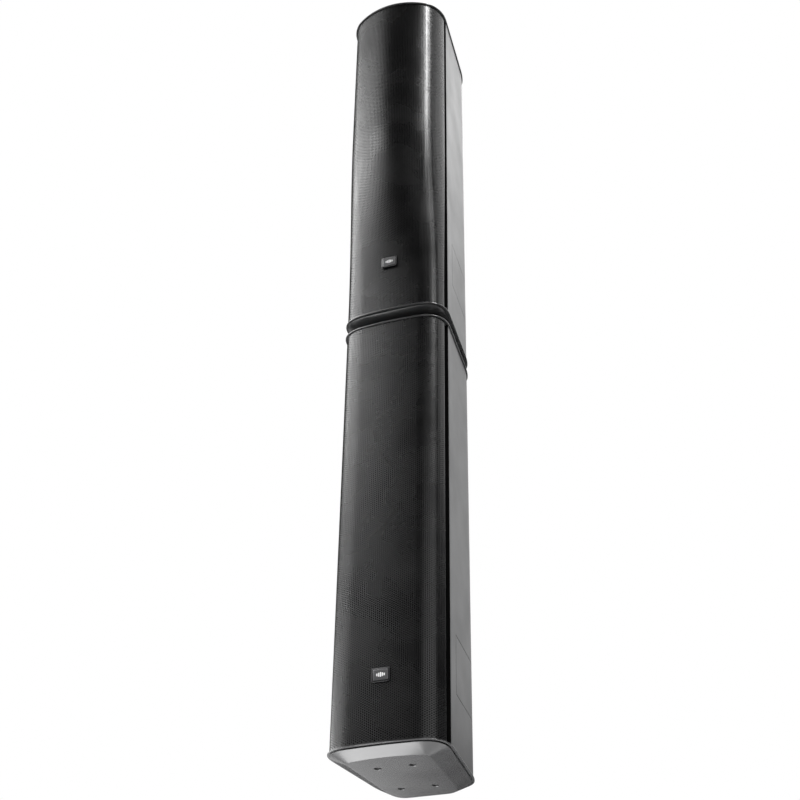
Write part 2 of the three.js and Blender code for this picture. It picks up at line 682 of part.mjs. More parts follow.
// The badge lies against the most forward point of the grille at the badge's top edge.
function badgeFace(fullRange) {
  const t = (BADGE_LEVEL + BADGE_HEIGHT / 2 - SHELL_LOW) / (SHELL_HIGH - SHELL_LOW);
  const bow = fullRange ? THREE.MathUtils.smoothstep(t, BOW_START, BOW_FULL) : 0;
  const crown = THREE.MathUtils.lerp(LOW_CROWN, HIGH_CROWN, bow);
  return GRILLE_INSET - crown - GAP;
}

addCabinet('lower', 0, false);
addCabinet('upper', PITCH, true);
addPart(system, 'coupler_plate_left', couplerPlate(-COUPLER_X), paint.metal);
addPart(system, 'coupler_plate_right', couplerPlate(COUPLER_X), paint.metal);

export default system;
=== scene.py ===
"""The looks of a two-cabinet column loudspeaker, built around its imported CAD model.

Lengths are in millimetres, and add_mesh turns them into metres. +Z is up and the front faces -Y. Plan
outlines are drawn from the line through the two front corners of a cabinet, with y pointing to the rear, and
moved into the shared frame by place_plan.
"""

import math
from collections import namedtuple

import bpy
import numpy as np
from mathutils import Matrix, Vector


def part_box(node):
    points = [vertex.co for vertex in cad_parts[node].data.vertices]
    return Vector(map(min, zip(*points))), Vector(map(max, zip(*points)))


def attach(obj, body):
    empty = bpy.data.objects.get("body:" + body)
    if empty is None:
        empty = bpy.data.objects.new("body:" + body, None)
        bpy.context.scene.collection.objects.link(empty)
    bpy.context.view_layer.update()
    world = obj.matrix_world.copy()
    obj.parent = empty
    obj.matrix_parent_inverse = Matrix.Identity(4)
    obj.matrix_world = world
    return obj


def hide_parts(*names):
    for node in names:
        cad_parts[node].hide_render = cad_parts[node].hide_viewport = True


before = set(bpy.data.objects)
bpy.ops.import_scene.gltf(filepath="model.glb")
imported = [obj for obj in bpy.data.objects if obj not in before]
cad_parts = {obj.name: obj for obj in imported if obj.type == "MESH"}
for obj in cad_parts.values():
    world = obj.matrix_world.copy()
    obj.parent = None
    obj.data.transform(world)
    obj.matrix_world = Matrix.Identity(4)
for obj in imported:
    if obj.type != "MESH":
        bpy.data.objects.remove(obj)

scene = bpy.context.scene
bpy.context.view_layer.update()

MM = 0.001
Corner = namedtuple("Corner", "x y z")


def cad_box(name):
    """The lowest and the highest corner of a CAD piece, in millimetres."""
    return [Corner(*(value / MM for value in corner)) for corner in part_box(name)]


def sizes(name):
    """A CAD piece's corners, then its middle and its half sizes in x and z."""
    low, high = cad_box(name)
    return low, high, (low.x + high.x) / 2, (low.z + high.z) / 2, (high.x - low.x) / 2, (high.z - low.z) / 2


# ---- the cabinet's plan, as in the CAD model ----
HALF_WIDTH = 125
REAR_HALF_WIDTH = 96
DEPTH = 279
LOW_CROWN = 10
HIGH_CROWN = 55
LOW_SHOULDER = 57
HIGH_SHOULDER = 42
REAR_ROUND_SIDE = 62
REAR_ROUND_BACK = 30
WALL = 8
LIP = 2.5
SHELL_FRONT = 46
GRILLE_BACK = 30
GRILLE_INSET = 1.5
BOW_START = 0.02
BOW_FULL = 0.58

CORNER_LINE = cad_box("lower_shell")[1].y - DEPTH
CABINETS = {
    "lower": {"level": cad_box("lower_bottom_cap")[0].z, "bows": False},
    "upper": {"level": cad_box("upper_bottom_cap")[0].z, "bows": True},
}
FIXED = "cabinets"

# ---- detail that only the looks have ----
HOLE_PITCH = 4.8
HOLE_RADIUS = 1.65
STEEL = 1.1
CLOTH_GAP = 0.3
CLOTH = 0.8
SOLID_EDGE = 1.6
WELD = 0.001
ARC_STEPS = 26
CORNER_STEPS = 22
SIDE_STEPS = 10
REAR_CORNER_STEPS = 18
REAR_STEPS = 5


# ---- meshes ----
def add_mesh(name, vertices, faces, material, sharp=35, unit=MM):
    mesh = bpy.data.meshes.new(name)
    mesh.from_pydata([tuple(c * unit for c in v) for v in vertices], [], [tuple(f) for f in faces])
    mesh.update()
    piece = bpy.data.objects.new(name, mesh)
    scene.collection.objects.link(piece)
    mesh.materials.append(material)
    shade(piece, sharp)
    return piece


def shade(piece, sharp=35):
    piece.data.shade_smooth()
    piece.data.set_sharp_from_angle(angle=math.radians(sharp))


def settle(piece, node=None, body=FIXED):
    """The piece rides on a body and stands in for a CAD node, which is hidden."""
    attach(piece, body)
    if node:
        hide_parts(node)
    return piece


def freeze(piece):
    """Applies the piece's modifiers."""
    graph = bpy.context.evaluated_depsgraph_get()
    made = bpy.data.meshes.new_from_object(piece.evaluated_get(graph))
    piece.modifiers.clear()
    piece.data = made
    return piece


def discard(piece):
    mesh = piece.data
    bpy.data.objects.remove(piece)
    bpy.data.meshes.remove(mesh)


def combine(piece, tools, operation="DIFFERENCE"):
    """Cuts the tools out of the piece, or joins them to it, and removes them."""
    for tool in tools:
        modifier = piece.modifiers.new("combine", "BOOLEAN")
        modifier.operation = operation
        modifier.solver = "EXACT"
        modifier.object = tool
    freeze(piece)
    for tool in tools:
        discard(tool)
    return piece


def soften(piece, width=0.6, segments=2, sharp=40):
    """Rounds the piece's sharp edges."""
    modifier = piece.modifiers.new("soften", "BEVEL")
    modifier.width = width * MM
    modifier.segments = segments
    modifier.limit_method = "ANGLE"
    modifier.angle_limit = math.radians(sharp)
    modifier.use_clamp_overlap = True
    freeze(piece)
    shade(piece)
    return piece


def even_shading(piece, sharp=35):
    """Lets the large faces set the shading, so that flat areas beside a rounded edge stay flat."""
    shade(piece, sharp)
    modifier = piece.modifiers.new("even_shading", "WEIGHTED_NORMAL")
    modifier.keep_sharp = True
    modifier.weight = 100
    freeze(piece)
    return piece


def merge(name, pieces):
    """Joins separate meshes into one piece without cutting them."""
    vertices = []
    faces = []
    materials = []
    slots = []
    for piece in pieces:
        start = len(vertices)
        used = [materials.index(m) if m in materials else materials.append(m) or len(materials) - 1
                for m in piece.data.materials]
        vertices += [tuple(v.co) for v in piece.data.vertices]
        faces += [[start + i for i in polygon.vertices] for polygon in piece.data.polygons]
        slots += [used[polygon.material_index] for polygon in piece.data.polygons]
    made = add_mesh(name, vertices, faces, materials[0], unit=1)
    for material in materials[1:]:
        made.data.materials.append(material)
    made.data.polygons.foreach_set("material_index", slots)
    for piece in pieces:
        discard(piece)
    return made


def loft(name, rings, material, sharp=35):
    """A closed solid through rings of points, from bottom to top."""
    count = len(rings[0])
    vertices = [point for ring in rings for point in ring]
    faces = []
    for level in range(len(rings) - 1):
        low = level * count
        for i in range(count):
            after = (i + 1) % count
            faces.append((low + i, low + after, low + count + after, low + count + i))
    top = (len(rings) - 1) * count
    faces.append(tuple(reversed(range(count))))
    faces.append(tuple(range(top, top + count)))
    return add_mesh(name, vertices, faces, material, sharp)


def box(name, x0, x1, y0, y1, z0, z1, material):
    ring = [(x0, y0), (x1, y0), (x1, y1), (x0, y1)]
    return loft(name, [[(x, y, z) for x, y in ring] for z in (z0, z1)], material)


def turned(name, profile, x, z, material, steps=48, sharp=35):
    """A solid of revolution about a line along Y. The profile holds (radius, y) pairs: either from axis to
    axis, or a loop whose last pair is the first one again."""
    area = sum(r0 * y1 - r1 * y0 for (r0, y0), (r1, y1) in zip(profile, [*profile[1:], profile[0]]))
    if area < 0:
        profile = profile[::-1]
    vertices = []
    rings = []
    for radius, y in profile:
        if rings and (radius, y) == profile[0]:
            rings.append(rings[0])
        elif radius == 0:
            rings.append([len(vertices)])
            vertices.append((x, y, z))
        else:
            rings.append(list(range(len(vertices), len(vertices) + steps)))
            for i in range(steps):
                angle = 2 * math.pi * i / steps
                vertices.append((x + radius * math.cos(angle), y, z + radius * math.sin(angle)))
    faces = []
    for low, high in zip(rings, rings[1:]):
        for i in range(steps):
            after = (i + 1) % steps
            pairs = ((low, i), (high, i), (high, after), (low, after))
            corners = [ring[j % len(ring)] for ring, j in pairs]
            faces.append(list(dict.fromkeys(corners)))
    return add_mesh(name, vertices, faces, material, sharp)


def upright(name, profile, x, y, material, steps=48, sharp=35):
    """A solid of revolution about a line along Z. The profile holds (radius, z) pairs, from axis to axis."""
    made = turned(name, profile, 0, 0, material, steps, sharp)
    made.data.transform(Matrix.Translation((x * MM, y * MM, 0)) @ Matrix.Rotation(math.radians(90), 4, "X"))
    return made


def rounded_rectangle(half_width, half_height, radius, steps=8):
    points = []
    for turn, (cx, cz) in enumerate(((1, 1), (-1, 1), (-1, -1), (1, -1))):
        for i in range(steps + 1):
            angle = math.pi / 2 * (turn + i / steps)
            points.append((cx * (half_width - radius) + radius * math.cos(angle),
                           cz * (half_height - radius) + radius * math.sin(angle)))
    return points


def slab(name, half_width, half_height, radius, x, z, face, seat, material, edge=0.0):
    """A rounded upright plate between y = seat and y = face. The edge of its face is rounded by edge."""
    facing = 1 if face > seat else -1
    layers = [(0, seat), (0, face - facing * edge)]
    if edge:
        for i in (1, 2, 3):
            angle = math.pi / 2 * i / 3
            layers.append((edge * (1 - math.cos(angle)), face - facing * edge * (1 - math.sin(angle))))
    rings = []
    for inset, y in layers:
        outline = rounded_rectangle(half_width - inset, half_height - inset, max(radius - inset, 0.05))
        if facing > 0:
            outline.reverse()
        rings.append([(x + px, y, z + pz) for px, pz in outline])
    return loft(name, rings, material)


# ---- plan outlines ----
def bezier(start, control, end, steps):
    t = np.linspace(0, 1, steps + 1)[:, None]
    start, control, end = (np.array(p, float) for p in (start, control, end))
    return (1 - t) ** 2 * start + 2 * t * (1 - t) * control + t ** 2 * end


def line(start, end, steps):
    t = np.linspace(0, 1, steps + 1)[:, None]
    return (1 - t) * np.array(start, float) + t * np.array(end, float)


def half_outline(half, rear_half, front, rear, crown, shoulder, round_side, round_back):
    """The right half of a plan, from the front's middle to the rear's middle."""
    radius = (half * half + crown * crown) / (2 * crown)
    sweep = math.asin(half / radius) - shoulder / radius
    angles = np.linspace(0, sweep, ARC_STEPS + 1)
    arc = np.stack([radius * np.sin(angles), front - crown + radius * (1 - np.cos(angles))], 1)
    side = np.array([rear_half - half, rear - front], float)
    side /= np.linalg.norm(side)
    front_end = np.array([half, front]) + side * shoulder
    rear_end = np.array([rear_half, rear]) - side * round_side
    rear_start = (rear_half - round_back, rear)
    return np.concatenate([
        arc,
        bezier(arc[-1], (half, front), front_end, CORNER_STEPS)[1:],
        line(front_end, rear_end, SIDE_STEPS)[1:],
        bezier(rear_end, (rear_half, rear), rear_start, REAR_CORNER_STEPS)[1:],
        line(rear_start, (0, rear), REAR_STEPS)[1:],
    ])


def cabinet_half(crown, shoulder, inset=0.0):
    return half_outline(HALF_WIDTH - inset, REAR_HALF_WIDTH - inset, 0, DEPTH - inset, crown - inset,
                        shoulder, REAR_ROUND_SIDE - inset, REAR_ROUND_BACK - inset)


def mirrored(half):
    return half[::-1] * np.array([-1, 1])


def whole(half):
    """The closed outline, from the front's middle round the right side."""
    return np.concatenate([half, mirrored(half)[1:-1]])


def crossing(p, q, y):
    return p + (q - p) * (y - p[1]) / (q[1] - p[1])


def front_stretch(half, limit):
    """The open stretch in front of limit, from the left end to the right one."""
    last = int(np.argmax(half[:, 1] > limit))
    right = np.concatenate([half[:last], [crossing(half[last - 1], half[last], limit)]])
    return np.concatenate([mirrored(right), right[1:]])


def rear_stretch(half, limit):
    """The open stretch behind limit, from the right end to the left one."""
    first = int(np.argmax(half[:, 1] > limit))
    right = np.concatenate([[crossing(half[first - 1], half[first], limit)], half[first:]])
    return np.concatenate([right, mirrored(right)[1:]])


def evenly(points, count):
    """The same line with count points at even distances."""
    steps = np.linalg.norm(np.diff(points, axis=0), axis=1)
    along = np.concatenate([[0], np.cumsum(steps)])
    at = np.linspace(0, along[-1], count)
    return np.stack([np.interp(at, along, points[:, i]) for i in (0, 1)], 1)


def place_plan(points, z):
    return [(x, y + CORNER_LINE, z) for x, y in points]


def smoothstep(t, start, end):
    t = np.clip((t - start) / (end - start), 0, 1)
    return t * t * (3 - 2 * t)


def lerp(a, b, t):
    return a + (b - a) * t


# ---- materials ----
NOISE_LOW = 0.3
NOISE_HIGH = 0.7


def new_material(name):
    material = bpy.data.materials.new(name)
    material.use_nodes = True
    tree = material.node_tree
    shader = tree.nodes["Principled BSDF"]
    return material, tree, shader


def node(tree, kind, inputs=None, **settings):
    made = tree.nodes.new(kind)
    for key, value in settings.items():
        setattr(made, key, value)
    for key, value in (inputs or {}).items():
        made.inputs[key].default_value = value
    return made


def noise(tree, scale, detail=3.0, stretch=(1, 1, 1)):
    """A noise field in the object's own metres."""
    coordinates = node(tree, "ShaderNodeTexCoord")
    mapping = node(tree, "ShaderNodeMapping", {"Scale": stretch})
    texture = node(tree, "ShaderNodeTexNoise", {"Scale": scale, "Detail": detail, "Roughness": 0.55})
    tree.links.new(coordinates.outputs["Object"], mapping.inputs["Vector"])
    tree.links.new(mapping.outputs["Vector"], texture.inputs["Vector"])
    return texture.outputs["Fac"]


def ramp(tree, value, stops):
    made = node(tree, "ShaderNodeValToRGB")
    made.color_ramp.elements[0].position = stops[0][0]
    made.color_ramp.elements[0].color = (*stops[0][1], 1)
    made.color_ramp.elements[1].position = stops[-1][0]
    made.color_ramp.elements[1].color = (*stops[-1][1], 1)
    for position, colour in stops[1:-1]:
        made.color_ramp.elements.new(position).color = (*colour, 1)
    tree.links.new(value, made.inputs["Fac"])
    return made.outputs["Color"]


def spread(tree, value, low, high):
    """Maps a noise field, which stays near its middle, to the range from low to high."""
    limits = {"From Min": NOISE_LOW, "From Max": NOISE_HIGH, "To Min": low, "To Max": high}
    made = node(tree, "ShaderNodeMapRange", limits)
    tree.links.new(value, made.inputs["Value"])
    return made.outputs["Result"]


def bump(tree, shader, height, distance, strength=1.0):
    made = node(tree, "ShaderNodeBump", {"Distance": distance, "Strength": strength})
    tree.links.new(height, made.inputs["Height"])
    tree.links.new(made.outputs["Normal"], shader.inputs["Normal"])


def finish_of(name, colour, roughness, grain=900, depth=0.02, drift=0.12, patches=9, metallic=0.0,
              roughness_drift=0.06, specular=0.5, stretch=(1, 1, 1), grain_detail=3.0):
    """A solid finish: slow colour drift, a fine grain of this depth and a little variation in roughness."""
    material, tree, shader = new_material(name)
    dark = tuple(c * (1 - drift) for c in colour)
    light = tuple(c * (1 + drift) for c in colour)
    slow = noise(tree, patches, 4.0, stretch)
    tree.links.new(ramp(tree, slow, [(NOISE_LOW, dark), (NOISE_HIGH, light)]), shader.inputs["Base Color"])
    fine = noise(tree, grain, grain_detail, stretch)
    tree.links.new(spread(tree, slow, roughness - roughness_drift, roughness + roughness_drift),
                   shader.inputs["Roughness"])
    bump(tree, shader, fine, depth * MM)
    shader.inputs["Metallic"].default_value = metallic
    shader.inputs["Specular IOR Level"].default_value = specular
    return material


SHELL_PAINT = finish_of("shell_textured_charcoal", (0.052, 0.052, 0.054), 0.34, grain=1100, depth=0.015,
                        roughness_drift=0.04)
CAP_PAINT = finish_of("cap_satin_charcoal", (0.050, 0.050, 0.051), 0.23, grain=1500, depth=0.006,
                      roughness_drift=0.03)
RIM_PAINT = finish_of("cap_rim_semi_gloss", (0.050, 0.050, 0.051), 0.16, grain=1500, depth=0.004,
                      roughness_drift=0.03, specular=1.0)
GRILLE_PAINT = finish_of("grille_black_powder_coat", (0.007, 0.007, 0.0073), 0.27, grain=1600, depth=0.006)
CLOTH_PAINT = finish_of("grille_backing_cloth", (0.0015, 0.0015, 0.0015), 0.95, grain=2600, depth=0.1,
                        specular=0.03)
# Matt black of the inner parts, also used as painted shade on the caps' groove walls and the shells' front
# edges.
BLACK_AND_SHADE_PAINT = finish_of("inner_matt_black_and_painted_shade", (0.003, 0.003, 0.003), 0.9, grain=800, depth=0.03, specular=0.05)
CUP_PAINT = finish_of("cup_textured_black", (0.016, 0.016, 0.0165), 0.5, grain=1300, depth=0.03)
BADGE_PAINT = finish_of("badge_gloss_black", (0.012, 0.012, 0.013), 0.22, grain=2500, depth=0.004)
BADGE_RIM = finish_of("badge_satin_rim", (0.22, 0.22, 0.225), 0.32, metallic=0.9, grain=2500, depth=0.004)
BADGE_PANEL = finish_of("badge_grey_panel", (0.045, 0.045, 0.047), 0.35, grain=2500, depth=0.004)
BADGE_MARK = finish_of("badge_pale_print", (0.78, 0.78, 0.78), 0.45, grain=2500, depth=0.004, drift=0.03)
FRAME_PAINT = finish_of("driver_black_steel", (0.02, 0.02, 0.021), 0.42, grain=1400, depth=0.015)
PULP_PAINT = finish_of("cone_black_pulp", (0.022, 0.021, 0.02), 0.85, grain=700, depth=0.12, drift=0.3,
                       patches=60)
RUBBER_PAINT = finish_of("surround_rubber", (0.012, 0.012, 0.012), 0.55, grain=1500, depth=0.01)
DOME_PAINT = finish_of("tweeter_dome", (0.3, 0.3, 0.31), 0.3, metallic=1.0, grain=2500, depth=0.004)
ZINC_PAINT = finish_of("dark_zinc_steel", (0.24, 0.24, 0.25), 0.36, metallic=1.0, grain=900, depth=0.01,
                       drift=0.2, patches=40, stretch=(1, 1, 0.08))
SCREW_PAINT = finish_of("black_oxide_screw", (0.06, 0.06, 0.065), 0.35, metallic=1.0, grain=2000,
                        depth=0.006)
INSERT_PAINT = finish_of("insert_black_steel", (0.05, 0.05, 0.05), 0.45, metallic=0.6, grain=1800,
                         depth=0.01)
BRASS_PAINT = finish_of("contact_nickel", (0.42, 0.40, 0.36), 0.34, metallic=1.0, grain=1800, depth=0.01)
BOARD_PAINT = finish_of("board_green", (0.015, 0.085, 0.035), 0.4, grain=1200, depth=0.02)
COPPER_PAINT = finish_of("enamelled_copper", (0.62, 0.24, 0.09), 0.32, metallic=0.9, grain=1500, depth=0.01,
                         drift=0.2, patches=60)
CAPACITOR_PAINT = finish_of("capacitor_sleeve", (0.03, 0.05, 0.11), 0.38, grain=1200, depth=0.008)
CERAMIC_PAINT = finish_of("resistor_ceramic", (0.55, 0.53, 0.48), 0.8, grain=1400, depth=0.05, drift=0.08)
FERRITE_PAINT = finish_of("magnet_ferrite", (0.035, 0.035, 0.037), 0.7, grain=700, depth=0.08, drift=0.25)
DUST_CAP_PAINT = finish_of("dust_cap_coated", (0.016, 0.016, 0.016), 0.45, grain=900, depth=0.04)


# ---- grilles ----
def grille_table(bows, low, high, inset, levels=121, across=601):
    """Points of a grille's face: for each level, evenly spaced from the left edge to the right one."""
    rows = []
    for t in np.linspace(0, 1, levels):
        bow = float(smoothstep(t, BOW_START, BOW_FULL)) if bows else 0.0
        half = cabinet_half(lerp(LOW_CROWN, HIGH_CROWN, bow), lerp(LOW_SHOULDER, HIGH_SHOULDER, bow), inset)
        rows.append(evenly(front_stretch(half, GRILLE_BACK), across))
    return np.array(rows), low, high


def on_table(table, across, z):
    """The points of a grille's face at fractions across and heights z."""
    rows, low, high = table
    level = np.clip((z - low) / (high - low), 0, 1) * (rows.shape[0] - 1)
    column = np.clip(across, 0, 1) * (rows.shape[1] - 1)
    i = np.minimum(level.astype(int), rows.shape[0] - 2)
    j = np.minimum(column.astype(int), rows.shape[1] - 2)
    a = (level - i)[:, None]
    b = (column - j)[:, None]
    plan = ((1 - a) * ((1 - b) * rows[i, j] + b * rows[i, j + 1])
            + a * ((1 - b) * rows[i + 1, j] + b * rows[i + 1, j + 1]))
    return np.stack([plan[:, 0], plan[:, 1] + CORNER_LINE, z], 1)


def table_length(table):
    rows = table[0]
    middle = rows[rows.shape[0] // 2]
    return float(np.linalg.norm(np.diff(middle, axis=0), axis=1).sum())


def perforated_sheet(name, bows, low, high, material):
    """A closed steel sheet with staggered holes, drilled through it in upright columns."""
    face = grille_table(bows, low, high, GRILLE_INSET)
    back = grille_table(bows, low, high, GRILLE_INSET + STEEL)
    length = table_length(face)
    height = high - low
    cell = HOLE_PITCH / math.sqrt(3)
    columns = int(length / (1.5 * cell))
    stretch = length / (columns * 1.5 * cell)
    rows = int(height / HOLE_PITCH) + 2
    half_u = 0.5 * cell * stretch
    half_v = 0.5 * HOLE_PITCH
    corners = [(2, 0), (1, 1), (-1, 1), (-2, 0), (-1, -1), (1, -1)]
    centre_u = np.repeat(3 * np.arange(columns + 1), rows)
    centre_v = np.tile(2 * np.arange(rows), columns + 1) + np.repeat(np.arange(columns + 1) % 2, rows)
    base = (height - (rows - 1) * HOLE_PITCH) / 2 - 0.5 * half_v
    outer_u = (centre_u[:, None] + np.array([c[0] for c in corners])) * half_u
    outer_v = (centre_v[:, None] + np.array([c[1] for c in corners])) * half_v + base
    margin = SOLID_EDGE + HOLE_RADIUS
    at_u = centre_u * half_u
    at_v = centre_v * half_v + base
    drilled = (at_u > margin) & (at_u < length - margin) & (at_v > margin) & (at_v < height - margin)
    outer_u = np.clip(outer_u, 0, length)
    outer_v = np.clip(outer_v, 0, height)
    keys = np.round(np.stack([outer_u.ravel(), outer_v.ravel()], 1) / WELD).astype(np.int64)
    unique, inverse = np.unique(keys, axis=0, return_inverse=True)
    grid = unique * WELD
    hexagons = inverse.reshape(-1, 6)
    angles = [math.atan2(v * half_v, u * half_u) for u, v in corners]
    ring = np.array([(math.cos(a), math.sin(a)) for a in angles]) * HOLE_RADIUS
    hole_u = at_u[drilled][:, None] + ring[:, 0]
    hole_v = at_v[drilled][:, None] + ring[:, 1]
    holes = len(hole_u)
    across = np.concatenate([grid[:, 0], hole_u.ravel()]) / length
    z = low + np.concatenate([grid[:, 1], hole_v.ravel()])
    count = len(across)
    vertices = np.concatenate([on_table(face, across, z), on_table(back, across, z)])
    hole_index = len(grid) + np.arange(holes * 6).reshape(-1, 6)
    around = hexagons[drilled]
    following = np.roll(around, -1, 1)
    hole_following = np.roll(hole_index, -1, 1)
    front_quads = np.stack([around, following, hole_following, hole_index], 2).reshape(-1, 4)
    wall_loop = [hole_index, hole_following, hole_following + count, hole_index + count]
    wall_quads = np.stack(wall_loop, 2).reshape(-1, 4)
    faces = front_quads.tolist() + wall_quads.tolist() + (front_quads[:, ::-1] + count).tolist()
    edges = {}
    for hexagon, is_drilled in zip(hexagons.tolist(), drilled.tolist()):
        loop = [v for i, v in enumerate(hexagon) if v != hexagon[i - 1]]
        flat = len(set(loop)) < 3
        flat = flat or any(len({int(unique[v][axis]) for v in loop}) == 1 for axis in (0, 1))
        if flat:
            continue
        if not is_drilled:
            faces.append(loop)
            faces.append([v + count for v in reversed(loop)])
        for i, v in enumerate(loop):
            edges[(loop[i - 1], v)] = True
    for a, b in list(edges):
        if (b, a) not in edges:
            faces.append([b, a, a + count, b + count])
    return add_mesh(name, vertices, faces, material, 50)


def backing_cloth(name, bows, low, high, material):
    """The closed black cloth that lies behind a grille's holes."""
    inset = GRILLE_INSET + STEEL + CLOTH_GAP
    tables = [grille_table(bows, low, high, inset + extra, levels=41, across=81) for extra in (0, CLOTH)]
    rings = []
    for row in range(tables[0][0].shape[0]):
        z = low + (high - low) * row / (tables[0][0].shape[0] - 1)
        outline = np.concatenate([tables[0][0][row], tables[1][0][row][::-1]])
        rings.append(place_plan(outline, z))
    return loft(name, rings, material)


def add_grille(prefix, bows):
    low, high = (corner.z for corner in cad_box(f"{prefix}_grille"))
    sheet = perforated_sheet(f"{prefix}_perforated_grille", bows, low, high, GRILLE_PAINT)
    settle(sheet, f"{prefix}_grille")
    cloth = backing_cloth(f"{prefix}_grille_cloth", bows, low, high, CLOTH_PAINT)
    settle(cloth)


# ---- caps ----
PLATE_HALF = 83
PLATE_REAR_HALF = 68
PLATE_FRONT = 27
PLATE_REAR_MARGIN = 21
PLATE_CROWN = 12
PLATE_SHOULDER = 9
PLATE_ROUND_SIDE = 45
PLATE_ROUND_BACK = 28
PLATE_FRONT_PER_CROWN = 0.6
PLATE_CROWN_PER_CROWN = 0.3
SLOPE_INSET = 2.5
GROOVE_DEPTH = 5
GROOVE_HEIGHT = 1.6
LIP_HEIGHT = 2.0
LIP_EDGE = 0.5
CREASE = 0.05
CREASE_STEPS = 6
SLOPE_EDGE = 1.2
LIP_STEPS = 3
INSERT_RADIUS = 7
INSERT_DEPTH = 10
INSERT_SPACING = (70, 127)
INSERT_MIDDLE = 136


def cap_rings(crown, shoulder, height):
    """Half outlines and heights of a bottom cap, from its flat plate up to its rim."""
    extra = crown - LOW_CROWN
    plate = half_outline(
        PLATE_HALF, PLATE_REAR_HALF, PLATE_FRONT - extra * PLATE_FRONT_PER_CROWN, DEPTH - PLATE_REAR_MARGIN,
        PLATE_CROWN + extra * PLATE_CROWN_PER_CROWN, PLATE_SHOULDER, PLATE_ROUND_SIDE, PLATE_ROUND_BACK,
    )
    slope = cabinet_half(crown, shoulder, SLOPE_INSET)
    lip_low = height - LIP_HEIGHT
    slope_high = lip_low - GROOVE_HEIGHT
    slope_top = slope_high - SLOPE_EDGE
    rings = []
    for share in np.linspace(-CREASE, CREASE, CREASE_STEPS + 1):
        rings.append((lerp(plate, slope, share), slope_top * (share + CREASE) ** 2 / (4 * CREASE)))
    for share in (0.25, 0.5, 0.75, 0.94):
        rings.append((lerp(plate, slope, share), slope_top * share))
    for share, rise in ((0.975, 0.97), (0.993, 0.985)):
        rings.append((lerp(plate, slope, share), slope_top * rise + SLOPE_EDGE * (share - 0.97) * 4))
    rings.append((slope, slope_high - 0.5 * SLOPE_EDGE))
    rings.append((slope, slope_high))
    for z in (slope_high, lip_low):
        rings.append((cabinet_half(crown, shoulder, GROOVE_DEPTH), z))
    turns = [math.pi / 2 * i / LIP_STEPS for i in range(LIP_STEPS + 1)]
    for turn in turns:
        outline = cabinet_half(crown, shoulder, -LIP + LIP_EDGE * (1 - math.sin(turn)))
        rings.append((outline, lip_low + LIP_EDGE * (1 - math.cos(turn))))
    for turn in turns:
        outline = cabinet_half(crown, shoulder, -LIP + LIP_EDGE * (1 - math.cos(turn)))
        rings.append((outline, height - LIP_EDGE * (1 - math.sin(turn))))
    return rings


def insert_places():
    return [(sx * INSERT_SPACING[0] / 2, INSERT_MIDDLE + sy * INSERT_SPACING[1] / 2)
            for sx in (-1, 1) for sy in (-1, 1)]


def insert_cutter(x, y, face, inward):
    """A hole with a chamfered mouth, drilled from a face at height face."""
    chamfer = 0.8
    profile = [(0, face - inward * 2), (INSERT_RADIUS + chamfer + 2, face - inward * 2),
               (INSERT_RADIUS, face + inward * chamfer), (INSERT_RADIUS, face + inward * INSERT_DEPTH),
               (0, face + inward * INSERT_DEPTH)]
    return upright("cutter", profile, x, y + CORNER_LINE, CAP_PAINT, 40)


def insert_bush(name, x, y, face, inward):
    """A threaded metal insert that sits a little below its face."""
    outer = INSERT_RADIUS - 0.2
    bore = 4.9
    start = 3.4
    profile = [(bore, INSERT_DEPTH - 0.3)]
    turns = 3
    for i in range(turns):
        z = INSERT_DEPTH - 0.8 - i * 1.5
        profile.append((bore, z))
        profile.append((bore + 0.5, z - 0.75))
    profile += [(bore, start + 0.5), (bore + 0.5, start), (outer - 0.4, start),
                (outer, start + 0.4), (outer, INSERT_DEPTH - 0.3), (bore, INSERT_DEPTH - 0.3)]
    points = [(radius, face + inward * z) for radius, z in profile]
    return upright(name, points, x, y + CORNER_LINE, INSERT_PAINT, 36)


def paint_groove_shade_and_gloss_rim(cap, groove, rim):
    """Paints the wall of the groove, at height groove, black as painted shade, and the rim's edge glossier.
    """
    cap.data.materials.append(BLACK_AND_SHADE_PAINT)
    cap.data.materials.append(RIM_PAINT)
    for polygon in cap.data.polygons:
        z = polygon.center.z / MM
        # painted shade: the groove's wall is painted black where its shadow falls
        if abs(z - groove) < GROOVE_HEIGHT / 4:
            polygon.material_index = 1
        elif abs(z - rim) < LIP_HEIGHT * 0.49:
            polygon.material_index = 2


def add_cap(name, facing, crown=LOW_CROWN, shoulder=LOW_SHOULDER):
    """facing is -1 for a cap whose plate faces down and 1 for one whose plate faces up."""
    bottom, top = (corner.z for corner in cad_box(name))
    height = top - bottom
    plate_face = bottom if facing < 0 else top
    levels = cap_rings(crown, shoulder, height)
    rings = [place_plan(whole(half), plate_face - facing * z) for half, z in levels]
    if facing > 0:
        rings.reverse()
    cap = loft(name + "_moulding", rings, CAP_PAINT, 28)
    combine(cap, [insert_cutter(x, y, plate_face, -facing) for x, y in insert_places()])
    shade(cap, 28)
    # The groove's wall gets black painted shade, and the rim's edge a glossier paint.
    paint_groove_shade_and_gloss_rim(cap, plate_face - facing * (height - LIP_HEIGHT - GROOVE_HEIGHT / 2),
                plate_face - facing * (height - LIP_HEIGHT / 2))
    settle(cap, name)
    bushes = [insert_bush(f"{name}_bush", x, y, plate_face, -facing) for x, y in insert_places()]
    settle(merge(f"{name}_threaded_inserts", bushes))


# ---- shells and connector covers ----
COVER_FRONT = 93
COVER_SHEET = 3.4
COVER_SEAM = 0.5
REBATE = 4
BRACKET_RADIUS = 4
BRACKET_SPACING = 60
BRACKET_LEVELS = (330, 400, 800, 870)


def bracket_places():
    return [(side * BRACKET_SPACING / 2, z) for z in BRACKET_LEVELS for side in (-1, 1)]


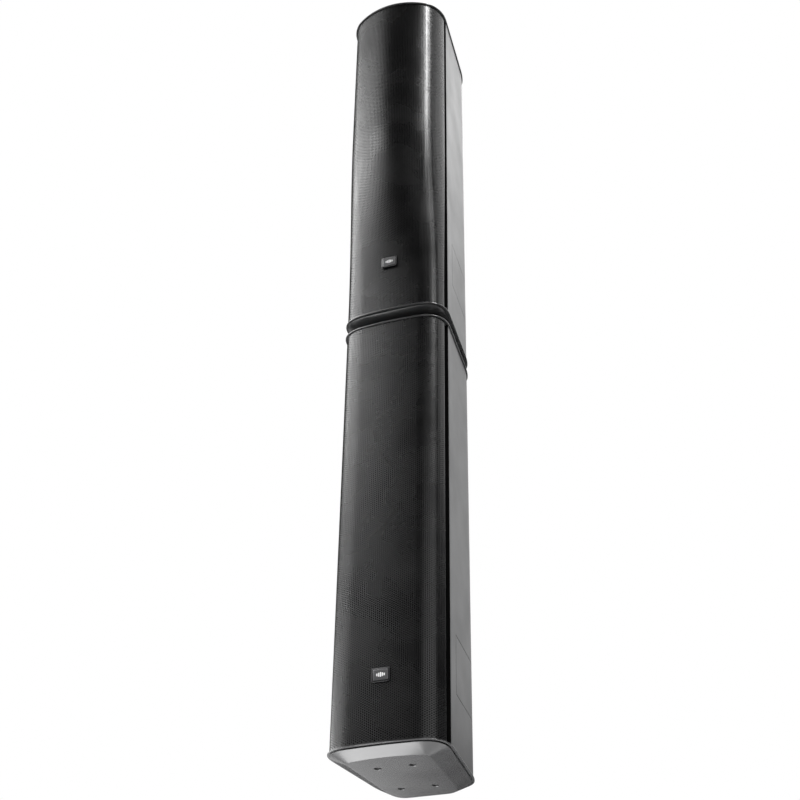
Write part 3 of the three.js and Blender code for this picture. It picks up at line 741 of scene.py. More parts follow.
def band(name, limit, outer_inset, inner_inset, low, high, material):
    """An upright sheet that follows the rear of the plan, behind limit."""
    outer = rear_stretch(cabinet_half(LOW_CROWN, LOW_SHOULDER, outer_inset), limit)
    inner = rear_stretch(cabinet_half(LOW_CROWN, LOW_SHOULDER, inner_inset), limit)
    outline = np.concatenate([outer, inner[::-1]])
    return loft(name, [place_plan(outline, z) for z in (low, high)], material)


def drill(x, z, radius, y0, y1, steps=32):
    return turned("cutter", [(0, y0), (radius, y0), (radius, y1), (0, y1)], x, z, BLACK_AND_SHADE_PAINT, steps)


def add_shell(prefix):
    low, high = (corner.z for corner in cad_box(f"{prefix}_shell"))
    rear = cad_box(f"{prefix}_shell")[1].y
    cover_low, cover_high = (corner.z for corner in cad_box(f"{prefix}_connector_cover"))
    cup_low, cup_high = cad_box(f"{prefix}_terminal_cup")
    shell = band(f"{prefix}_shell_moulding", SHELL_FRONT, 0, WALL, low, high, SHELL_PAINT)
    rebate = band("cutter", COVER_FRONT - COVER_SEAM, -WALL, REBATE, cover_low - COVER_SEAM,
                  cover_high + COVER_SEAM, SHELL_PAINT)
    flange = 5
    window = box("cutter", cup_low.x + flange, cup_high.x - flange, rear - 3 * WALL, rear + WALL,
                 cup_low.z + flange, cup_high.z - flange, BLACK_AND_SHADE_PAINT)
    level = CABINETS[prefix]["level"]
    holes = [drill(x, level + z, BRACKET_RADIUS, rear - WALL + 2, rear + WALL) for x, z in bracket_places()]
    combine(shell, [rebate, window, *holes])
    soften(shell, 0.5, 2)
    even_shading(shell)
    # painted shade on the shell's front edge beside the grille
    paint_shade_on_front_edge(shell)
    settle(shell, f"{prefix}_shell")
    return shell


def paint_shade_on_front_edge(shell):
    """Paints the shell's front edge, beside the grille, matt black: painted shade for the dark gap behind
    the grille's edge.
    """
    shell.data.materials.append(BLACK_AND_SHADE_PAINT)
    edge = SHELL_FRONT + CORNER_LINE + 0.05
    for polygon in shell.data.polygons:
        if polygon.normal.y < -0.9 and polygon.center.y / MM < edge:
            polygon.material_index = 1


def add_cover(prefix):
    body = f"{prefix}_cover"
    low, high = cad_box(f"{prefix}_connector_cover")
    seam = 0.7
    cover = band(f"{prefix}_cover_moulding", COVER_FRONT + seam, 0.02, COVER_SHEET, low.z + seam,
                 high.z - seam, SHELL_PAINT)
    outlet_half = 22
    outlet_height = 26
    outlet = slab("cutter", outlet_half, outlet_height, 8, 0, low.z, high.y - 2 * WALL, high.y + WALL,
                  BLACK_AND_SHADE_PAINT)
    seats = []
    screws = []
    for x in (-38, 38):
        for z in (low.z + 14, high.z - 14):
            seats.append(turned("cutter", [(0, high.y - 1.6), (2.4, high.y - 1.6),
                                           (4.6, high.y + 0.6), (0, high.y + 0.6)], x, z,
                                BLACK_AND_SHADE_PAINT, 32))
            screws.append(screw_head("screw", x, z, high.y - 1.55, 1, 4.0, 1.3))
    combine(cover, [outlet, *seats])
    soften(cover, 0.5, 2)
    even_shading(cover)
    settle(cover, f"{prefix}_connector_cover", body)
    settle(merge(f"{prefix}_cover_screws", screws), body=body)


def screw_head(name, x, z, seat, facing, radius, height, material=SCREW_PAINT):
    """A domed head with a hexagon socket on a face at y = seat. facing: 1 towards +Y, -1 towards -Y."""
    socket = radius * 0.45
    floor = height * 0.35
    profile = [(0, 0), (radius * 0.94, 0), (radius, height * 0.25), (radius * 0.93, height * 0.6),
               (radius * 0.72, height * 0.9), (socket * 1.2, height), (socket, height * 0.96),
               (socket, floor), (0, floor)]
    points = [(r, seat + facing * y) for r, y in profile]
    return turned(name, points, x, z, material, 24)


# ---- badges ----
def add_badge(prefix):
    low, high, _, z, half_width, half_height = sizes(f"{prefix}_badge")
    face = low.y
    frame_width = 3.4
    line = 0.9
    surround = slab("surround", half_width, half_height, 3, 0, z, face, high.y, BADGE_PAINT, 0.7)
    hollow = slab("cutter", half_width - frame_width, half_height - frame_width, 1.6, 0, z, face - 1,
                  face + 0.9, BADGE_PAINT)
    combine(surround, [hollow])
    shade(surround)
    rim = slab("rim", half_width - frame_width - 0.1, half_height - frame_width - 0.1, 1.6, 0, z,
               face + 0.1, face + 1.2, BADGE_RIM, 0.3)
    panel = slab("panel", half_width - frame_width - line, half_height - frame_width - line, 1.2, 0, z,
                 face + 0.05, face + 1.2, BADGE_PANEL)
    bars = []
    heights = (0.55, 0.8, 1.0, 0.8, 0.55)
    for i, share in enumerate(heights):
        x = (i - (len(heights) - 1) / 2) * 3.7
        bars.append(slab("bar", 1.3, 4.7 * share, 0.9, x, z, face - 0.1, face + 0.4, BADGE_MARK, 0.1))
    settle(merge(f"{prefix}_badge_frame", [surround, rim]), f"{prefix}_badge")
    settle(merge(f"{prefix}_badge_face", [panel]))
    settle(merge(f"{prefix}_badge_mark", bars))


# ---- behind the connector cover ----
CUP_WALL = 3
CUP_FLANGE = 5
CUP_DEPTH = 26
SOCKET_X = 19
SOCKET_LEVEL = 224
SOCKET_HOLE = 12.5
SWITCH_X = 19
SWITCH_LEVEL = 165
SWITCH_SLOT = (7, 3)
STRIP_WAYS = 4


def add_terminal_cup(prefix, with_switches):
    low, high = cad_box(f"{prefix}_terminal_cup")
    level = CABINETS[prefix]["level"]
    floor = high.y - CUP_DEPTH
    middle = (low.z + high.z) / 2
    half_width = high.x - CUP_FLANGE
    half_height = (high.z - low.z) / 2 - CUP_FLANGE
    cup = slab(f"{prefix}_terminal_cup_moulding", high.x, half_height + CUP_FLANGE, 5, 0, middle, high.y,
               high.y - CUP_WALL, CUP_PAINT)
    tub = slab("tub", half_width, half_height, 4, 0, middle, high.y - 1, low.y, CUP_PAINT)
    combine(cup, [tub], "UNION")
    cutters = [slab("cutter", half_width - CUP_WALL, half_height - CUP_WALL, 3, 0, middle,
                    high.y + 5, floor, CUP_PAINT)]
    for side in (-1, 1):
        cutters.append(drill(side * SOCKET_X, level + SOCKET_LEVEL, SOCKET_HOLE, low.y - 1, floor + 1))
        if with_switches:
            cutters.append(slab("cutter", SWITCH_SLOT[0], SWITCH_SLOT[1], 0.6, side * SWITCH_X,
                                level + SWITCH_LEVEL, floor + 1, low.y - 1, CUP_PAINT))
    combine(cup, cutters)
    soften(cup, 0.5)
    settle(cup, f"{prefix}_terminal_cup")
    if with_switches:
        bezels = [switch_bezel(side * SWITCH_X, level + SWITCH_LEVEL, floor) for side in (-1, 1)]
        settle(merge(f"{prefix}_switch_bezels", bezels))


def switch_bezel(x, z, floor):
    half_width, half_height = SWITCH_SLOT
    bezel = slab("bezel", half_width + 2.4, half_height + 2.4, 1.2, x, z, floor + 0.9, floor,
                 ZINC_PAINT, 0.3)
    opening = slab("cutter", half_width, half_height, 0.6, x, z, floor + 2, floor - 1, ZINC_PAINT)
    combine(bezel, [opening])
    shade(bezel)
    return bezel


def add_socket(prefix, side):
    """A round locking loudspeaker socket: ribbed rim, keyways, a centre post with four contacts, a latch."""
    low, high, x, z, _, _ = sizes(f"{prefix}_socket_{side}")
    reach = high.x - x
    body = reach - 3
    bore = 9
    seat = high.y - 4.7
    floor = low.y + 6
    profile = [(0, low.y), (body - 0.6, low.y), (body, low.y + 0.6), (body, seat),
               (reach - 0.4, seat), (reach, seat + 0.4), (reach, high.y - 2),
               (reach - 0.8, high.y - 0.6), (reach - 2.2, high.y), (bore + 0.7, high.y),
               (bore, high.y - 0.7), (bore, floor), (0, floor)]
    pieces = [turned("body", profile, x, z, CUP_PAINT, 64)]
    post = [(0, floor - 1), (5.0, floor - 1), (5.0, high.y - 5),
            (4.5, high.y - 4.4), (2.4, high.y - 4.4), (2.0, high.y - 5),
            (2.0, floor + 3), (0, floor + 3)]
    pieces.append(turned("post", post, x, z, CUP_PAINT, 40))
    for turn in range(4):
        angle = math.pi / 4 + turn * math.pi / 2
        contact = box("contact", 4.8, 5.6, floor, high.y - 7, -1.3, 1.3, BRASS_PAINT)
        rotate_in_place(contact, angle, x, z)
        pieces.append(contact)
    for turn, half in ((0, 1.4), (2, 2.2)):
        key = box("key", bore - 1.1, bore + 0.6, floor, high.y - 2, -half, half, CUP_PAINT)
        rotate_in_place(key, math.pi / 2 * turn, x, z)
        pieces.append(key)
    latch = box("latch", -2.6, 2.6, high.y - 3.6, high.y + 0.6, reach - 5.4, reach - 1.6, ZINC_PAINT)
    rotate_in_place(latch, 0, x, z)
    pieces.append(soften(latch, 0.5))
    settle(merge(f"{prefix}_loudspeaker_socket_{side}", pieces), f"{prefix}_socket_{side}")


def rotate_in_place(piece, angle, x, z):
    """Turns a piece built round the Y axis by angle and moves it to (x, z)."""
    piece.data.transform(Matrix.Translation((x * MM, 0, z * MM)) @ Matrix.Rotation(-angle, 4, "Y"))


def add_barrier_strip(prefix):
    low, high = cad_box(f"{prefix}_barrier_strip")
    base = low.y + 6
    wall = 2
    z = (low.z + high.z) / 2
    way = (high.x - low.x - wall) / STRIP_WAYS
    pieces = [soften(box("base", low.x, high.x, low.y, base, low.z, high.z, CUP_PAINT), 0.4)]
    for i in range(STRIP_WAYS + 1):
        x = low.x + i * way
        pieces.append(soften(box("wall", x, x + wall, base - 0.5, high.y, low.z, high.z, CUP_PAINT), 0.5))
    for i in range(STRIP_WAYS):
        x = low.x + wall / 2 + (i + 0.5) * way
        plate = box("plate", x - 5, x + 5, base - 0.2, base + 0.8, low.z + 1, high.z - 1, BRASS_PAINT)
        pieces.append(soften(plate, 0.3))
        pieces.append(screw_head("screw", x, z, base + 0.8, 1, 3.6, 2.4, ZINC_PAINT))
    settle(merge(f"{prefix}_screw_terminals", pieces), f"{prefix}_barrier_strip")


def add_switch(name, body):
    """A slider with a ribbed button on a foot that stays behind the cup's floor."""
    low, high, middle_x, middle_z, _, _ = sizes(name)
    foot_top = low.y + 3.7
    foot = soften(box("foot", low.x, high.x, low.y, foot_top, low.z, high.z, BLACK_AND_SHADE_PAINT), 0.4)
    half_button = 3.5
    half_height = SWITCH_SLOT[1] - 0.3
    pieces = [foot, slab("button", half_button, half_height, 0.5, middle_x, middle_z, high.y - 0.8,
                         foot_top - 0.5, CUP_PAINT, 0.3)]
    for i in range(-2, 3):
        x = middle_x + i * 1.3
        pieces.append(slab("rib", 0.35, half_height - 0.3, 0.3, x, middle_z, high.y,
                           high.y - 1.2, CUP_PAINT, 0.15))
    settle(merge(f"{name}_slider", pieces), name, body)


# ---- crossover boards ----
BOARD_SHEET = 1.6
POST_LENGTH = 12
COIL_LENGTH = 18


def coil(x, z, face):
    """A coil of copper wire on a bobbin that stands on the board's front face and reaches towards -Y."""
    front = face - COIL_LENGTH
    bobbin = [(4, front), (16, front), (16, front + 1.2), (9, front + 1.2),
              (9, face - 1.2), (16, face - 1.2), (16, face), (4, face),
              (4, front)]
    turns = 14
    step = (COIL_LENGTH - 2.6) / turns
    wire = [(8.8, front + 1.3), (14.2, front + 1.3)]
    for i in range(turns):
        wire.append((14.8, front + 1.3 + (i + 0.5) * step))
        wire.append((14.2, front + 1.3 + (i + 1) * step))
    wire += [(8.8, face - 1.3), (8.8, front + 1.3)]
    return [turned("bobbin", bobbin, x, z, CUP_PAINT, 40), turned("wire", wire, x, z, COPPER_PAINT, 40, 70)]


def capacitor(x, y, z, radius, length):
    profile = [(0, z), (radius - 0.6, z), (radius, z + 0.6), (radius, z + length - 0.6),
               (radius - 0.6, z + length), (0, z + length)]
    return upright("capacitor", profile, x, y, CAPACITOR_PAINT, 32)


def add_board(prefix):
    low, high, middle_x, middle_z, half_width, half_height = sizes(f"{prefix}_crossover_board")
    rear = high.y - POST_LENGTH
    face = rear - BOARD_SHEET
    pieces = [slab("board", half_width, half_height, 2, middle_x, middle_z, face, rear, BOARD_PAINT, 0.1)]
    for x in (low.x + 6, high.x - 6):
        for z in (low.z + 6, high.z - 6):
            post = [(0, rear), (2.4, rear), (3, rear + 0.6), (3, high.y), (0, high.y)]
            pieces.append(turned("post", post, x, z, BRASS_PAINT, 6))
            pieces.append(screw_head("screw", x, z, face, -1, 2.8, 1.8, ZINC_PAINT))
    for z in (low.z + 34, low.z + 90):
        pieces += coil(middle_x - 8, z, face)
    for z, radius in ((low.z + 16, 6), (low.z + 44, 7), (low.z + 74, 5)):
        pieces.append(capacitor(high.x - 15, face - radius, z, radius, 22))
    for z in (low.z + 14, low.z + 59):
        pieces.append(soften(box("resistor", middle_x - 27, middle_x - 3, face - 8, face,
                                 z - 4, z + 4, CERAMIC_PAINT), 0.6))
    settle(merge(f"{prefix}_crossover_assembly", pieces), f"{prefix}_crossover_board")


# ---- baffle and grille frame ----
CUTOUT_RADIUS = 68
WOOFERS = 6


def woofer_centres(prefix):
    for number in range(1, WOOFERS + 1):
        low, high = cad_box(f"{prefix}_woofer_frame_{number}")
        yield number, low, high, (low.z + high.z) / 2


def add_baffle(prefix):
    low, high = cad_box(f"{prefix}_baffle")
    baffle = box(f"{prefix}_baffle_board", low.x, high.x, low.y, high.y, low.z, high.z, BLACK_AND_SHADE_PAINT)
    holes = [drill(0, z, CUTOUT_RADIUS, low.y - WALL, high.y + WALL, 72)
             for _, _, _, z in woofer_centres(prefix)]
    combine(baffle, [merge("cutter", holes)])
    soften(baffle, 0.6)
    settle(baffle, f"{prefix}_baffle")


def add_grille_frame(prefix):
    low, high, _, middle, _, half_height = sizes(f"{prefix}_grille_frame")
    rail = 7
    bar = 8
    piece = slab(f"{prefix}_grille_rails", high.x, half_height, 2, 0, middle, low.y, high.y, BLACK_AND_SHADE_PAINT,
                 1.5)
    hollow = slab("cutter", high.x - rail, half_height - bar, 2, 0, middle, low.y - 5, high.y + 5,
                  BLACK_AND_SHADE_PAINT)
    combine(piece, [hollow])
    shade(piece)
    settle(piece, f"{prefix}_grille_frame")


# ---- woofers ----
FLANGE_RADIUS = 78
FLANGE_SHEET = 3.7
BASKET_INNER = 64
BASKET_OUTER = 66.5
BASKET_WINDOWS = 6
WOOFER_SCREWS = 8
WOOFER_SCREW_CIRCLE = 72.5


def woofer_chassis():
    """A woofer's fixed part, round the Y axis with its flange's front at y = 0."""
    basket = turned("basket", [
        (38, 60), (38, 57.5), (46, 54), (BASKET_INNER, 21),
        (BASKET_INNER, 0.7), (BASKET_INNER + 0.7, 0), (FLANGE_RADIUS - 0.8, 0),
        (FLANGE_RADIUS, 0.8), (FLANGE_RADIUS, FLANGE_SHEET), (BASKET_OUTER, FLANGE_SHEET),
        (BASKET_OUTER, 22.5), (48.6, 55.5), (44, 60), (38, 60),
    ], 0, 0, FRAME_PAINT, 96)
    windows = []
    for i in range(BASKET_WINDOWS):
        window = box("window", 30, 75, 25, 51, -19, 19, FRAME_PAINT)
        rotate_in_place(window, 2 * math.pi * i / BASKET_WINDOWS, 0, 0)
        windows.append(window)
    for window in windows:
        combine(basket, [window])
    shade(basket)
    plate = turned("plate", [(0, 56), (42.2, 56), (43, 56.8), (43, 60.4), (0, 60.4)], 0, 0, ZINC_PAINT, 72)
    magnet = turned("magnet", [(0, 60), (45, 60), (46, 61), (46, 70),
                               (45, 71), (0, 71)], 0, 0, FERRITE_PAINT, 72)
    back = turned("back", [(0, 70.5), (43, 70.5), (43, 75), (42, 76),
                           (9, 76), (8, 75), (8, 72), (0, 72)],
                  0, 0, ZINC_PAINT, 72)
    gasket = turned("gasket", [(64.6, 0.1), (64.6, -0.9), (65.1, -1.3),
                               (68.6, -1.3), (69.1, -0.9), (69.1, 0.1),
                               (64.6, 0.1)], 0, 0, RUBBER_PAINT, 96)
    pieces = [basket, plate, magnet, back, gasket]
    for i in range(WOOFER_SCREWS):
        angle = 2 * math.pi * (i + 0.5) / WOOFER_SCREWS
        pieces.append(screw_head("screw", WOOFER_SCREW_CIRCLE * math.cos(angle),
                                 WOOFER_SCREW_CIRCLE * math.sin(angle), 0, -1, 3.4, 2.2))
    return merge("woofer_chassis_pattern", pieces)


def woofer_diaphragm():
    """A woofer's moving part: dust cap, cone, half-roll surround and voice coil."""
    angles = np.linspace(0.12, math.pi / 2 - 0.08, 10)
    crown = [(19.6 * math.cos(a), 22.3 - 8.2 * math.sin(a)) for a in angles]
    cap = turned("dust_cap", [(0, 22.6), (21.2, 22.6), *crown, (0, 13.9)], 0, 0, DUST_CAP_PAINT, 72)
    front = [(lerp(20, 50.2, t), lerp(23.5, 4.2, t ** 0.85)) for t in np.linspace(0, 1, 9)]
    behind = [(r, y + 1.4) for r, y in reversed(front)]
    loop = front[::-1] + behind[::-1]
    cone = turned("cone", loop + [loop[0]], 0, 0, PULP_PAINT, 96)
    roll = 5.8
    middle = 55.9
    angles = np.linspace(0, math.pi, 15)
    crest = [(middle - roll * math.cos(a), 4.1 - roll * math.sin(a)) for a in angles]
    under = [(middle - (roll - 0.8) * math.cos(a), 5.0 - (roll - 0.6) * math.sin(a)) for a in angles[::-1]]
    loop = crest + under
    surround = turned("surround", loop + [loop[0]], 0, 0, RUBBER_PAINT, 96)
    former = turned("former", [(19.2, 22), (20, 22), (20, 36), (19.2, 36),
                               (19.2, 22)], 0, 0, COPPER_PAINT, 48)
    return merge("woofer_diaphragm_pattern", [cap, cone, surround, former])


def copy_to(pattern, name, x, y, z):
    piece = bpy.data.objects.new(name, pattern.data.copy())
    piece.data.transform(Matrix.Translation((x * MM, y * MM, z * MM)))
    scene.collection.objects.link(piece)
    return piece


def add_woofers(prefix, chassis, diaphragm):
    for number, low, _, z in woofer_centres(prefix):
        fixed = copy_to(chassis, f"{prefix}_woofer_{number}_chassis", 0, low.y, z)
        settle(fixed, f"{prefix}_woofer_frame_{number}")
        moving = copy_to(diaphragm, f"{prefix}_woofer_{number}_diaphragm", 0, low.y, z)
        settle(moving, f"{prefix}_woofer_cone_{number}", f"{prefix}_cone_{number}")


# ---- tweeters ----
TWEETERS = 24
TWEETER_MODULES = 4
TWEETER_PITCH = 38.6
TWEETER_OPENING = 14
DOME_RADIUS = 8.2
DOME_SWEEP = 1.2
DOME_RISE = 3.2
ROLL_RADIUS = 10.6
UNIT_RADIUS = 12.5


def tweeter_levels(prefix):
    low, high = cad_box(f"{prefix}_tweeter_bar")
    first = (low.z + high.z - (TWEETERS - 1) * TWEETER_PITCH) / 2
    return [first + i * TWEETER_PITCH for i in range(TWEETERS)]


def add_tweeter_bar(prefix):
    low, high, _, middle, _, half_height = sizes(f"{prefix}_tweeter_bar")
    back = low.y + 10
    foot = 8
    name = f"{prefix}_tweeter_bar_plate"
    bar = slab(name, high.x, half_height, 2, 0, middle, low.y, back, BLACK_AND_SHADE_PAINT, 1.2)
    holes = []
    for z in tweeter_levels(prefix):
        holes.append(turned("cutter", [(0, low.y - 1), (TWEETER_OPENING + 3, low.y - 1),
                                       (TWEETER_OPENING, low.y + 2), (TWEETER_OPENING, back + 1),
                                       (0, back + 1)], 0, z, BLACK_AND_SHADE_PAINT, 40))
    combine(bar, [merge("cutter", holes)])
    shade(bar)
    feet = [soften(box("foot", low.x + 1, high.x - 1, back - 0.5, high.y, z, z + foot, BLACK_AND_SHADE_PAINT))
            for z in (low.z, high.z - foot)]
    settle(merge(f"{prefix}_tweeter_carrier", [bar, *feet]), f"{prefix}_tweeter_bar")


def tweeter_unit(front):
    """A dome with its roll surround and mounting ring, round the Y axis. front is the dome's tip."""
    rise = DOME_RISE / (1 - math.cos(DOME_SWEEP))
    dome = [(DOME_RADIUS * math.sin(a), front + rise * (1 - math.cos(a)))
            for a in np.linspace(0, DOME_SWEEP, 8)][::-1]
    rear = front + 7.5
    edge = DOME_RADIUS * math.sin(DOME_SWEEP)
    cap = turned("dome", [(0, rear), (edge, rear), *dome[:-1], (0, front)], 0, 0, DOME_PAINT, 40)
    middle = (edge + ROLL_RADIUS) / 2
    half = ROLL_RADIUS - middle
    roll = [(middle - half * math.cos(a), front + DOME_RISE - 1.1 * math.sin(a))
            for a in np.linspace(0, math.pi, 7)]
    ring = [*roll, (UNIT_RADIUS, front + 4.4), (UNIT_RADIUS, rear), (edge, rear), roll[0]]
    surround = turned("surround", ring, 0, 0, RUBBER_PAINT, 40)
    return merge("tweeter_pattern", [cap, surround])


def add_tweeter_modules(prefix):
    levels = tweeter_levels(prefix)
    per_module = TWEETERS // TWEETER_MODULES
    for number in range(1, TWEETER_MODULES + 1):
        low, high, _, middle, _, half_height = sizes(f"{prefix}_tweeter_module_{number}")
        pattern = tweeter_unit(low.y)
        pieces = [slab("carrier", high.x, half_height, 3, 0, middle, high.y - 9, high.y, FRAME_PAINT, 0.3)]
        for z in levels[(number - 1) * per_module:number * per_module]:
            pieces.append(copy_to(pattern, "tweeter", 0, 0, z))
        for z in (low.z + 4, high.z - 4):
            for x in (-17, 17):
                pieces.append(screw_head("screw", x, z, high.y, 1, 2.4, 1.5))
        discard(pattern)
        module = merge(f"{prefix}_tweeter_unit_{number}", pieces)
        settle(module, f"{prefix}_tweeter_module_{number}")


# ---- couplers and bracket points ----
def add_coupler(side):
    name = f"coupler_plate_{side}"
    low, high, x, z, half_width, half_height = sizes(name)
    sheet = 4
    pad = 13
    plate = slab("plate", half_width, half_height, 4, x, z, high.y, high.y - sheet, ZINC_PAINT, 0.6)
    pieces = [plate]
    for sign in (-1, 1):
        level = z + sign * (half_height - pad)
        pieces.append(slab("pad", half_width - 0.5, pad - 0.5, 3, x, level, high.y - sheet + 0.5,
                           low.y, ZINC_PAINT))
        washer = [(0, high.y), (7.4, high.y), (7.8, high.y + 0.4), (7.8, high.y + 1),
                  (7.4, high.y + 1.4), (0, high.y + 1.4)]
        pieces.append(turned("washer", washer, x, level, SCREW_PAINT, 40))
        pieces.append(screw_head("bolt", x, level, high.y + 1.4, 1, 5.4, 3.4, SCREW_PAINT))
    settle(merge(f"{name}_with_bolts", pieces), name)


def add_bracket_points(prefix):
    """Threaded rings in the blind holes of the rear wall."""
    rear = cad_box(f"{prefix}_shell")[1].y
    level = CABINETS[prefix]["level"]
    outer = BRACKET_RADIUS - 0.15
    bore = 2.6
    deep = rear - WALL + 2.2
    mouth = rear - 0.4
    loop = [(bore, mouth - 0.4), (bore, deep), (outer, deep), (outer, mouth - 0.3),
            (outer - 0.3, mouth), (bore + 0.4, mouth), (bore, mouth - 0.4)]
    rings = [turned("ring", loop, x, level + z, BRASS_PAINT, 32) for x, z in bracket_places()]
    settle(merge(f"{prefix}_bracket_inserts", rings))


# ---- build ----
chassis_pattern = woofer_chassis()
diaphragm_pattern = woofer_diaphragm()
for prefix, cabinet in CABINETS.items():
    add_grille(prefix, cabinet["bows"])
    add_cap(f"{prefix}_bottom_cap", -1)
    top_shape = (HIGH_CROWN, HIGH_SHOULDER) if cabinet["bows"] else (LOW_CROWN, LOW_SHOULDER)
    add_cap(f"{prefix}_top_cap", 1, *top_shape)
    add_shell(prefix)
    add_bracket_points(prefix)
    add_cover(prefix)
    add_badge(prefix)
    add_terminal_cup(prefix, cabinet["bows"])
    for side in ("left", "right"):
        add_socket(prefix, side)
    add_barrier_strip(prefix)
    add_board(prefix)
    add_baffle(prefix)
    add_grille_frame(prefix)
    add_woofers(prefix, chassis_pattern, diaphragm_pattern)
discard(chassis_pattern)
discard(diaphragm_pattern)
add_switch("upper_coverage_switch", "coverage_slider")
add_switch("upper_voicing_switch", "voicing_slider")
add_tweeter_bar("upper")
add_tweeter_modules("upper")
add_coupler("left")
add_coupler("right")


# ---- camera, floor and light ----
def add_camera():
    """The view from the front right and below, with the picture shifted a little off the lens's axis."""
    azimuth = math.radians(20.52)
    elevation = math.radians(-33.34)
    roll = math.radians(0.58)
    back = Vector((math.sin(azimuth) * math.cos(elevation), -math.cos(azimuth) * math.cos(elevation),
                   math.sin(elevation)))
    right = (-back).cross(Vector((0, 0, 1))).normalized()
    up = right.cross(-back)
    right, up = (right * math.cos(roll) + up * math.sin(roll), up * math.cos(roll) - right * math.sin(roll))
    data = bpy.data.cameras.new("camera")
    data.lens = 59.85
    data.sensor_width = 36
    data.shift_x = -0.01625
    data.shift_y = 0.01325
    data.clip_start = 0.05
    data.clip_end = 100
    camera = bpy.data.objects.new("camera", data)
    place = Vector([c * MM for c in (881.2, -2206.2 + CORNER_LINE, -809.3)])
    camera.matrix_world = Matrix.Translation(place) @ Matrix((right, up, back)).transposed().to_4x4()
    scene.collection.objects.link(camera)
    scene.camera = camera


def add_floor():
    level = -1700
    radius = 2600
    count = 64
    ring = [(radius * math.cos(2 * math.pi * i / count), radius * math.sin(2 * math.pi * i / count), level)
            for i in range(count)]
    paint = finish_of("pale_floor", (0.82, 0.82, 0.82), 0.8, grain=30, depth=0.2, drift=0.01)
    add_mesh("floor", ring, [tuple(range(count))], paint)


def add_softbox(name, azimuth, elevation, distance, width, height, radiance, aim=(0, 0, 1.0), spread=70):
    """A soft rectangular light with a grid that narrows its beam. Azimuth 0 is in front, 90 to the right."""
    a = math.radians(azimuth)
    e = math.radians(elevation)
    out = Vector((math.sin(a) * math.cos(e), -math.cos(a) * math.cos(e), math.sin(e)))
    data = bpy.data.lights.new(name, "AREA")
    data.shape = "RECTANGLE"
    data.size = width
    data.size_y = height
    data.energy = radiance * math.pi * width * height
    data.spread = math.radians(spread)
    light = bpy.data.objects.new(name, data)
    light.location = Vector(aim) + out * distance
    light.rotation_mode = "QUATERNION"
    light.rotation_quaternion = out.to_track_quat("Z", "Y")
    light.visible_camera = False
    scene.collection.objects.link(light)


# Windows of light in the backdrop, in degrees: the middle's azimuth (0 in front, 90 to the right) and
# elevation, half the full part, the width of the soft edge, and the strength.
WINDOWS = [
    {"middle": (-72, 43.5), "half": (22, 2), "soft": (27, 4.5), "strength": 4.3},
    {"middle": (-63, 37), "half": (22, 2), "soft": (28, 7), "strength": 7.5},
    {"middle": (-65, 25), "half": (25, 5), "soft": (30, 6), "strength": 1.3},
    {"middle": (-85, 14), "half": (25, 4), "soft": (20, 5), "strength": 5.5},
    {"middle": (57, 51), "half": (8.5, 4.5), "soft": (6, 3.5), "strength": 42.0},
    {"middle": (112, 42), "half": (18, 6), "soft": (20, 10), "strength": 2.0},
    {"middle": (38, 21), "half": (22, 5), "soft": (12, 8), "strength": 1.5},
    {"middle": (171, 50), "half": (22, 28), "soft": (20, 7), "strength": 0.88},
    {"middle": (171, 60), "half": (20, 15), "soft": (20, 10), "strength": 1.2},
    {"middle": (-139, -14), "half": (17, 9), "soft": (6, 8), "strength": 0.9},
    {"middle": (-176, -30), "half": (8, 5), "soft": (8, 7), "strength": 0.08},
    {"middle": (0, 90), "half": (180, 12), "soft": (1, 5), "strength": 6.0},
]
DIM = 0.03


def math_node(tree, operation, first, second):
    """A Math node on two values, each an output of another node or a number."""
    made = node(tree, "ShaderNodeMath", operation=operation)
    for place, value in enumerate((first, second)):
        if isinstance(value, (int, float)):
            made.inputs[place].default_value = value
        else:
            tree.links.new(value, made.inputs[place])
    return made


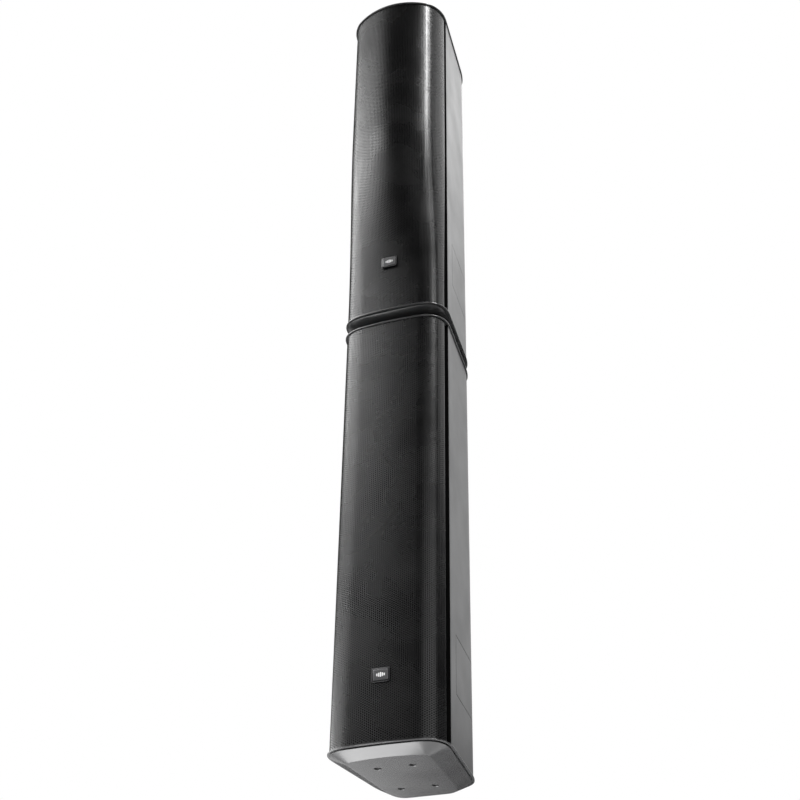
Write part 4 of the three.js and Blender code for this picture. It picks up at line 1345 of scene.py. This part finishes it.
def soft_window(tree, angle, middle, half, soft, strength):
    """The strength within half of the middle angle, fading to nothing over soft. Angles in radians."""
    apart = node(tree, "ShaderNodeMath", operation="WRAP")
    tree.links.new(math_node(tree, "SUBTRACT", angle, math.radians(middle)).outputs[0], apart.inputs[0])
    apart.inputs[1].default_value = math.pi
    apart.inputs[2].default_value = -math.pi
    away = math_node(tree, "ABSOLUTE", apart.outputs[0], 0.0)
    fade = node(tree, "ShaderNodeMapRange", {
        "From Min": math.radians(half), "From Max": math.radians(half + soft), "To Min": strength,
        "To Max": 0.0,
    }, interpolation_type="SMOOTHSTEP")
    tree.links.new(away.outputs[0], fade.inputs["Value"])
    return fade.outputs["Result"]


def add_world():
    """A white backdrop for the camera. As a light it is dark but for a few soft windows."""
    world = bpy.data.worlds.new("studio")
    scene.world = world
    world.use_nodes = True
    tree = world.node_tree
    tree.nodes.clear()
    coordinates = node(tree, "ShaderNodeTexCoord")
    split = node(tree, "ShaderNodeSeparateXYZ")
    tree.links.new(coordinates.outputs["Generated"], split.inputs["Vector"])
    forward = math_node(tree, "MULTIPLY", split.outputs["Y"], -1.0)
    azimuth = math_node(tree, "ARCTAN2", split.outputs["X"], forward.outputs[0]).outputs[0]
    elevation = math_node(tree, "ARCSINE", split.outputs["Z"], 0.0).outputs[0]
    total = DIM
    for window in WINDOWS:
        across, upward = (
            soft_window(tree, angle, window["middle"][i], window["half"][i], window["soft"][i],
                        window["strength"] if i else 1.0)
            for i, angle in enumerate((azimuth, elevation))
        )
        light = math_node(tree, "MULTIPLY", across, upward).outputs[0]
        total = math_node(tree, "ADD", light, total).outputs[0]
    path = node(tree, "ShaderNodeLightPath")
    lit = node(tree, "ShaderNodeBackground", {"Color": (1, 1, 1, 1)})
    seen = node(tree, "ShaderNodeBackground", {"Color": (1, 1, 1, 1), "Strength": 1.0})
    choice = node(tree, "ShaderNodeMixShader")
    output = node(tree, "ShaderNodeOutputWorld")
    tree.links.new(total, lit.inputs["Strength"])
    tree.links.new(path.outputs["Is Camera Ray"], choice.inputs["Fac"])
    tree.links.new(lit.outputs["Background"], choice.inputs[1])
    tree.links.new(seen.outputs["Background"], choice.inputs[2])
    tree.links.new(choice.outputs["Shader"], output.inputs["Surface"])


add_camera()
add_floor()
add_world()
add_softbox("bounce_low", -83.6, -60.5, 1.264, 1.0, 1.0, 8.5, aim=(0, -0.1, 0), spread=180)
scene.view_settings.view_transform = "Standard"
